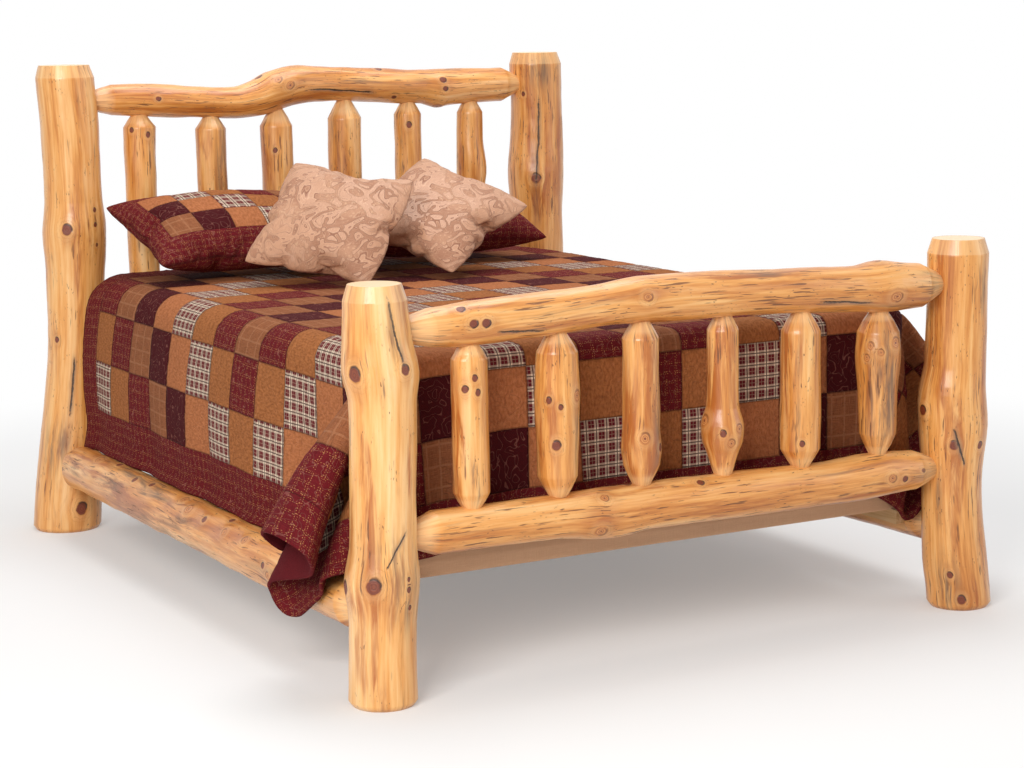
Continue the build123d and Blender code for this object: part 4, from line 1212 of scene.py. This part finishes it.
quilt = {
    "left": -1.292, "right": 1.183, "foot": -1.488, "head": 1.012,     # its edges, laid flat
    "rounded": 0.08,          # radius of its two foot corners
    "cell": 0.025,
    "patch": 0.150,
    "patches": 15,
    "border": 0.128,
    "top": 0.7985,            # height of its upper side on the mattress
    "edge": 0.790,            # how far out its drops hang
    "bend": 0.070,
    "softBend": 0.110,        # at its head end
    "softFrom": 0.80, "softOver": 0.20,
    "lean": 0.03,
    "belly": 0.30,            # how far a drop leans out at its top, and from where it turns in
    "bellyTurn": 0.36,
    "bellyFrom": -0.62, "bellyOver": 0.45,
    "lapFrom": 0.528,         # along the left drop, where it turns out over the rail
    "lapOver": 0.030,
    "lap": 1.00,
    "lapSoft": 0.6,           # share of the lap that is lost at the head end
    "sway": 0.0045,           # waves of the drops
    "swayOver": 0.15, "swayDrop": 0.45,
    "dropSteps": 160,
    "thick": 0.008,
    "groove": 0.0024,
    "grooveWide": 0.006,
    "pucker": 0.0005,
    "looseFrom": -0.45,       # nearer the foot than this the cloth is let go
    "flareFrom": -0.74, "flareTo": -1.02, "flare": 1.20,
    "frames": 80,
    "tuckFrom": 0.95, "tuckSoft": 0.03, "tuck": 0.40,     # farther out it is pressed in
    "clearFrom": -1.038, "clearSoft": 0.003, "clear": 0.95,     # and clear of the top rail
    "clearSide": 0.80, "clearFade": 0.04,
    "boardAway": 0.62, "boardSide": 0.50,     # where the footboard starts
    "boardFrom": 14, "boardTo": 44,
    "railRadius": 0.066, "boardSlim": 0.004,
    "stillIn": 0.07,          # this far inside the mattress's edges its top lies still
}

clothFacts = {
    "quality": 7, "mass": 0.25, "air_damping": 2.5, "tension_stiffness": 30,
    "compression_stiffness": 30, "shear_stiffness": 12, "bending_stiffness": 20,
    "tension_damping": 10, "compression_damping": 10, "shear_damping": 8,
    "bending_damping": 1.5, "vertex_group_mass": "held", "pin_stiffness": 1,
}
touchFacts = {
    "collision_quality": 3, "distance_min": 0.005, "use_self_collision": True,
    "self_distance_min": 0.007, "self_friction": 4,
}
stopFacts = {"thickness_outer": 0.004, "cloth_friction": 8, "damping": 0.5}


def setFacts(holder, facts):
    for name, value in facts.items():
        setattr(holder, name, value)


def dropPoint(x, y):
    # where a point of the flat quilt hangs before the foot is let go
    side = -1 if x < 0 else 1
    head = np.clip((y - quilt["softFrom"]) / quilt["softOver"], 0, 1)
    bend = quilt["bend"] + (quilt["softBend"] - quilt["bend"]) * head * head
    start = quilt["edge"] - bend
    length = abs(x) - start
    if length <= 0:
        return x, y, quilt["top"]
    spread = np.clip((quilt["flareFrom"] - y) / (quilt["flareFrom"] - quilt["flareTo"]), 0, 1)
    spread = spread * spread * (3 - 2 * spread)
    belly = quilt["belly"] * np.clip((y - quilt["bellyFrom"]) / quilt["bellyOver"], 0, 1)
    steps = np.linspace(0, length, quilt["dropSteps"])
    heading = np.clip(steps / bend, 0, math.pi / 2 - quilt["flare"] * spread)
    turned = np.clip(steps / bend / 1.2, 0, 1)
    heading -= (quilt["lean"] + belly * (1 - steps / quilt["bellyTurn"])) * turned * (1 - spread)
    if side < 0:
        heading -= quilt["lap"] * (1 - spread) * (1 - quilt["lapSoft"] * head) * np.clip(
            (steps - quilt["lapFrom"]) / quilt["lapOver"], 0, 1)
    out = start + np.cos(heading[1:]).sum() * steps[1]
    down = np.sin(heading[1:]).sum() * steps[1]
    held = np.clip((y - quilt["looseFrom"]) / quilt["swayOver"], 0, 1)
    sway = math.sin(y * 13.0 + side) + 0.7 * math.sin(y * 29.0 + 2.0 * side)
    out += quilt["sway"] * held * sway * min(length / quilt["swayDrop"], 1) ** 1.4
    return side * out, y, quilt["top"] - down


def quiltGrid():
    # the flat net with its two foot corners rounded, and the same net hung over the bed
    xs = np.arange(quilt["left"], quilt["right"] + 1e-6, quilt["cell"])
    ys = np.arange(quilt["foot"], quilt["head"] + 1e-6, quilt["cell"])
    flat = np.stack(np.meshgrid(xs, ys), -1)
    radius = quilt["rounded"]
    for side, edge in ((-1, quilt["left"]), (1, quilt["right"])):
        corner = np.array([edge - side * radius, quilt["foot"] + radius])
        away = (flat - corner) * (side, -1)
        near = (away > 0).all(-1)
        span = np.maximum(away[near].max(-1), 1e-9)
        share = span / np.linalg.norm(away[near], axis=-1)
        reach = (span / radius) ** 2
        flat[near] = corner + away[near] * (side, -1) * (1 + (share - 1) * reach)[:, None]
    return flat, np.array([[dropPoint(x, y) for x, y in row] for row in flat])


def tubeMesh(start, end, radius, around=16, rings=14):
    start, end = Vector(start), Vector(end)
    axis = (end - start).normalized()
    first = axis.orthogonal().normalized()
    second = axis.cross(first)
    ways = [math.cos(turn) * first + math.sin(turn) * second
            for turn in (fullTurn * i / around for i in range(around))]
    points = [tuple(start.lerp(end, ring / rings) + radius * way)
              for ring in range(rings + 1) for way in ways]
    return addMesh("tube", points, gridFaces(rings + 1, around, True) + [
        tuple(reversed(range(around))), tuple(range(rings * around, (rings + 1) * around))])


def bedBlockMesh():
    # the mattress and box spring as one block for the cloth to fall on
    low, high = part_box("box_spring")[0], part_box("mattress")[1]
    mesh = bmesh.new()
    bmesh.ops.create_cube(mesh, size=1)
    for vert in mesh.verts:
        vert.co.x *= high.x - low.x
        vert.co.y *= high.y - low.y
        vert.co.z = (vert.co.z + 0.5) * (high.z - low.z) + low.z
    uprights = [e for e in mesh.edges if abs(e.verts[0].co.z - e.verts[1].co.z) > 0.1]
    bmesh.ops.bevel(mesh, geom=uprights, offset=block["corner"], segments=5, affect="EDGES",
                    profile=0.5)
    rim = [e for e in mesh.edges if all(abs(v.co.z - high.z) < 1e-4 for v in e.verts)]
    bmesh.ops.bevel(mesh, geom=rim, offset=mattress["edge"], segments=4, affect="EDGES",
                    profile=0.5)
    made = bpy.data.meshes.new("bedBlock")
    mesh.to_mesh(made)
    mesh.free()
    return made


def addCollider(name, mesh):
    thing = addThing(name, mesh)
    thing.modifiers.new("stop", "COLLISION")
    setFacts(thing.collision, stopFacts)
    return thing


def footboardTubes():
    # straight stand-ins for the footboard's logs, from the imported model's own boxes
    tubes = []
    for name in ("foot_post_left", "foot_post_right", "foot_lower_rail",
                 *(f"foot_spindle_{n}" for n in range(1, 7))):
        low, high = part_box(name)
        ends = ((low + high) / 2, (low + high) / 2)
        axis = 0 if "rail" in name else 2
        ends[0][axis], ends[1][axis] = low[axis], high[axis]
        tubes.append(tubeMesh(*ends, (high.y - low.y) / 2 - quilt["boardSlim"]))
    return tubes


def letFootFall(flat, grid):
    # the foot of the quilt falls by itself, and the footboard then closes in on it
    loose = flat[:, 0, 1] < quilt["looseFrom"] + 2.5 * quilt["cell"]
    part = grid[loose]
    mesh = addMesh("quiltFoot", part.reshape(-1, 3).tolist(), gridFaces(*part.shape[:2]))
    cloth = addThing("quiltFoot", mesh)
    low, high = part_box("mattress")
    x, y, z = np.moveaxis(part, -1, 0)
    onTop = (np.abs(x) < high.x - quilt["stillIn"]) & (y > low.y + quilt["stillIn"]) \
        & (z > quilt["top"] - 0.01)
    pins = cloth.vertex_groups.new(name="held")
    held = (onTop | (y > quilt["looseFrom"])).ravel()
    pins.add([int(i) for i in np.flatnonzero(held)], 1.0, "REPLACE")
    stops = [addCollider("bedBlock", bedBlockMesh())]
    radius = quilt["railRadius"]
    for side in ("left", "right"):
        low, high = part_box(f"side_rail_{side}")
        x = low.x + radius if side == "left" else high.x - radius
        z = (low.z + high.z) / 2
        stops.append(addCollider("rail", tubeMesh((x, low.y, z), (x, high.y, z), radius, 20, 40)))
    away = (quilt["boardSide"], -quilt["boardAway"], 0.0)
    for tube in footboardTubes():
        stops.append(addCollider("board", tube))
        for frameNumber, place in ((1, away), (quilt["boardFrom"], away),
                                   (quilt["boardTo"], (0.0, 0.0, 0.0))):
            stops[-1].location = place
            stops[-1].keyframe_insert("location", frame=frameNumber)
    modifier = cloth.modifiers.new("cloth", "CLOTH")
    setFacts(modifier.settings, clothFacts)
    setFacts(modifier.collision_settings, touchFacts)
    runFrames(modifier, quilt["frames"])
    settled = pointsOf(plainMesh(cloth)).reshape(part.shape)
    for thing in stops + [cloth]:
        bpy.data.objects.remove(thing)
    out = np.maximum(np.abs(settled[:, :, 0]) - quilt["tuckFrom"], 0)
    settled[:, :, 0] -= np.sign(settled[:, :, 0]) * quilt["tuck"] * out * out \
        / (out + quilt["tuckSoft"])
    between = np.clip((quilt["clearSide"] - np.abs(settled[:, :, 0])) / quilt["clearFade"], 0, 1)
    out = np.maximum(quilt["clearFrom"] - settled[:, :, 1], 0)
    settled[:, :, 1] += between * quilt["clear"] * out * out / (out + quilt["clearSoft"])
    grid = grid.copy()
    grid[loose] = settled
    return grid


def runFrames(modifier, last):
    modifier.point_cache.frame_start = 1
    modifier.point_cache.frame_end = last
    scene.frame_start, scene.frame_end = 1, last
    for frameNumber in range(1, last + 1):
        scene.frame_set(frameNumber)


def subdivided(name, points, faces, flat):
    # one smooth subdivision, giving points, faces and each point's place on the flat cloth
    mesh = addMesh(name, points.tolist(), faces)
    addAttribute(mesh, "flat", flat, "FLOAT_VECTOR")
    thing = addThing(name, mesh)
    modifier = thing.modifiers.new("smooth", "SUBSURF")
    modifier.levels = modifier.render_levels = 1
    made = plainMesh(thing)
    bpy.data.objects.remove(thing)
    normals = np.array([v.normal[:] for v in made.vertices])
    flat = np.array([d.vector[:] for d in made.attributes["flat"].data])
    return pointsOf(made), normals, [tuple(p.vertices) for p in made.polygons], flat


def seamDip(flat, facts, width):
    # 1 on a seam between patches, falling to 0 beside it
    dip, inside = np.zeros(len(flat)), np.ones(len(flat), bool)
    for axis in (0, 1):
        place = (flat[:, axis] - facts["from"][axis]) / facts["patch"]
        inside &= (place > -0.01) & (place < facts["count"][axis] + 0.01)
        away = np.abs(place - np.round(place)) * facts["patch"]
        dip = np.maximum(dip, np.exp(-(away / width) ** 2))
    return dip * inside


quiltPatches = {
    "from": (quilt["left"] + quilt["border"], quilt["foot"] + quilt["border"]),
    "patch": quilt["patch"], "count": (quilt["patches"], quilt["patches"]),
    "mirrored": True, "first": -2.0, "depth": 0.0026,
}
quiltBack = {
    "from": (quilt["left"], quilt["foot"]), "to": (quilt["right"], quilt["head"]),
    "facing": 0.21,
    "cream": ((0.66, 0.58, 0.48), (0.80, 0.73, 0.63)),
    "wine": ((0.070, 0.006, 0.009), (0.130, 0.012, 0.015)),
}


def makeQuilt():
    flat, grid = quiltGrid()
    grid = letFootFall(flat, grid)
    faces = gridFaces(*grid.shape[:2])
    flat = np.c_[flat.reshape(-1, 2), np.zeros(flat[..., 0].size)]
    points, normals, faces, flat = subdivided("quilt", grid.reshape(-1, 3), faces, flat)
    rng = np.random.default_rng(11)
    puff = rng.normal(0, quilt["pucker"], len(points)) \
        - quilt["groove"] * seamDip(flat, quiltPatches, quilt["grooveWide"])
    points = points + normals * puff[:, None]
    piece = addPiece("quilt_cloth", points, faces, quiltLook)
    piece.data.materials.append(liningLook)
    addAttribute(piece.data, "flat", flat, "FLOAT_VECTOR")
    wall = piece.modifiers.new("wall", "SOLIDIFY")
    wall.thickness = quilt["thick"]
    wall.offset = -1.0
    wall.material_offset = 1
    piece.data = plainMesh(piece)
    finishPiece(piece, "mattress", "patchwork", "quilt")


# The pillows

shams = {
    "width": 0.650, "depth": 0.500, "thick": 0.196,
    "cell": 0.0135,
    "lean": 16.0,             # degrees that its back is raised
    "patch": 0.096, "count": (5, 3),
    "groove": 0.0022,
    "grooveWide": 0.005,
    "bow": 0.045,             # how far the middle of each edge is cut outwards
    "pressure": 5.0,
    "frames": 26,
}

throws = {
    "width": 0.410, "depth": 0.410, "thick": 0.126,
    "cell": 0.0115,
    "bow": 0.135,
    "pressure": 4.5,
    "frames": 24,
    # degrees of turn about Z, lean back from upright, and roll in its own plane
    "turns": {"throw_pillow_left": (-40.5, 45.5, -11.3),
              "throw_pillow_right": (-26.8, 55.8, -36.5)},
}

pillowBuild = {
    "gap": 0.006, "gapSpread": 0.003,     # between its two sheets before it is filled
    "rest": 0.001,            # above the quilt
    "sunk": 0.04,             # share left of what would reach into the quilt
}

pillowFacts = {
    "quality": 6, "mass": 0.15, "tension_stiffness": 12, "compression_stiffness": 12,
    "shear_stiffness": 3, "bending_stiffness": 0.25, "air_damping": 4.0, "use_pressure": True,
}


def pillowSheets(facts, rng):
    # two flat sheets with one rim, a little apart, and where each point lies on the flat cloth
    columns, rows = (int(round(facts[key] / facts["cell"])) for key in ("width", "depth"))
    xs = np.linspace(-facts["width"] / 2, facts["width"] / 2, columns + 1)
    ys = np.linspace(-facts["depth"] / 2, facts["depth"] / 2, rows + 1)
    points, flat, faces = [], [], []
    front, back = np.zeros((rows + 1, columns + 1), int), np.zeros((rows + 1, columns + 1), int)
    for side, index in ((1, front), (-1, back)):
        for row, y in enumerate(ys):
            for column, x in enumerate(xs):
                rim = row in (0, rows) or column in (0, columns)
                if rim and side < 0:
                    index[row, column] = front[row, column]
                    continue
                index[row, column] = len(points)
                spread = 0.0 if rim else rng.uniform(0, pillowBuild["gapSpread"])
                gap = 0.0 if rim else side * (pillowBuild["gap"] + spread)
                bowX = 1 + facts["bow"] * (1 - (2 * y / facts["depth"])**2)
                bowY = 1 + facts["bow"] * (1 - (2 * x / facts["width"])**2)
                points.append((x * bowX, y * bowY, gap))
                flat.append((x, y, 0.0 if rim or side > 0 else 1.0))
    for index, order in ((front, 1), (back, -1)):
        ids = index.ravel()
        faces += [tuple(int(ids[i]) for i in face)[::order]
                  for face in gridFaces(rows + 1, columns + 1)]
    return np.array(points), np.array(flat), faces


def inflate(name, points, faces, facts):
    thing = addThing(name, addMesh(name, points.tolist(), faces))
    modifier = thing.modifiers.new("cloth", "CLOTH")
    setFacts(modifier.settings, pillowFacts)
    modifier.settings.uniform_pressure_force = facts["pressure"]
    modifier.settings.effector_weights.gravity = 0.0
    modifier.collision_settings.use_collision = False
    runFrames(modifier, facts["frames"])
    settled = pointsOf(plainMesh(thing))
    bpy.data.objects.remove(thing)
    return settled


def makePillow(node, facts, look, slot, seed, turn, rest):
    points, flat, faces = pillowSheets(facts, np.random.default_rng(seed))
    points = inflate(node, points, faces, facts)
    points -= (points.max(0) + points.min(0)) / 2
    spans = points.max(0) - points.min(0)
    points *= np.array([facts["width"], facts["depth"], facts["thick"]]) / spans
    points, normals, faces, flat = subdivided(node, points, faces, flat)
    if facts is shams:
        dip = seamDip(flat, shamPatches, facts["grooveWide"])
        points -= normals * (facts["groove"] * dip * (flat[:, 2] < 0.5))[:, None]
    low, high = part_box(node)
    points = points @ np.array(turn)[:3, :3].T + np.array((low + high) / 2)
    sunk = points[:, 2] < rest
    points[sunk, 2] = rest + (points[sunk, 2] - rest) * pillowBuild["sunk"]
    piece = addPiece(node + "_cover", points, faces, look)
    addAttribute(piece.data, "flat", flat, "FLOAT_VECTOR")
    finishPiece(piece, node, slot, node)


def makePillows():
    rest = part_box("quilt")[1].z + pillowBuild["rest"]
    raised = Matrix.Rotation(math.radians(shams["lean"]), 4, "X")
    for seed, node in enumerate(("sham_left", "sham_right"), 21):
        makePillow(node, shams, shamLook, "patchwork", seed, raised, rest)
    for seed, (node, (turn, lean, roll)) in enumerate(throws["turns"].items(), 31):
        upright = Matrix.Rotation(math.radians(turn), 4, "Z") \
            @ Matrix.Rotation(math.radians(-lean), 4, "X") \
            @ Matrix.Rotation(math.radians(-roll), 4, "Y") \
            @ Matrix.Rotation(math.radians(90), 4, "X")
        makePillow(node, throws, damaskLook, "damask", seed, upright, rest)


shamPatches = {
    "from": (-shams["patch"] * shams["count"][0] / 2, -shams["patch"] * shams["count"][1] / 2),
    "patch": shams["patch"], "count": shams["count"],
    "mirrored": False, "first": 1.0, "depth": 0.0022,
}

quiltLook = patchwork("quiltPatchwork", quiltPatches)
shamLook = patchwork("shamPatchwork", shamPatches)
liningLook = quiltLining(quiltBack)
damaskLook = damask()
springLook = springCloth()
tickingLook = ticking()
tapeLook = plainThread("whiteTape", (0.84, 0.83, 0.80))

makeMattress()
makeBoxSpring()
print("mattress and box spring are made")
makeQuilt()
print("quilt is draped")
makePillows()
print("pillows are filled")
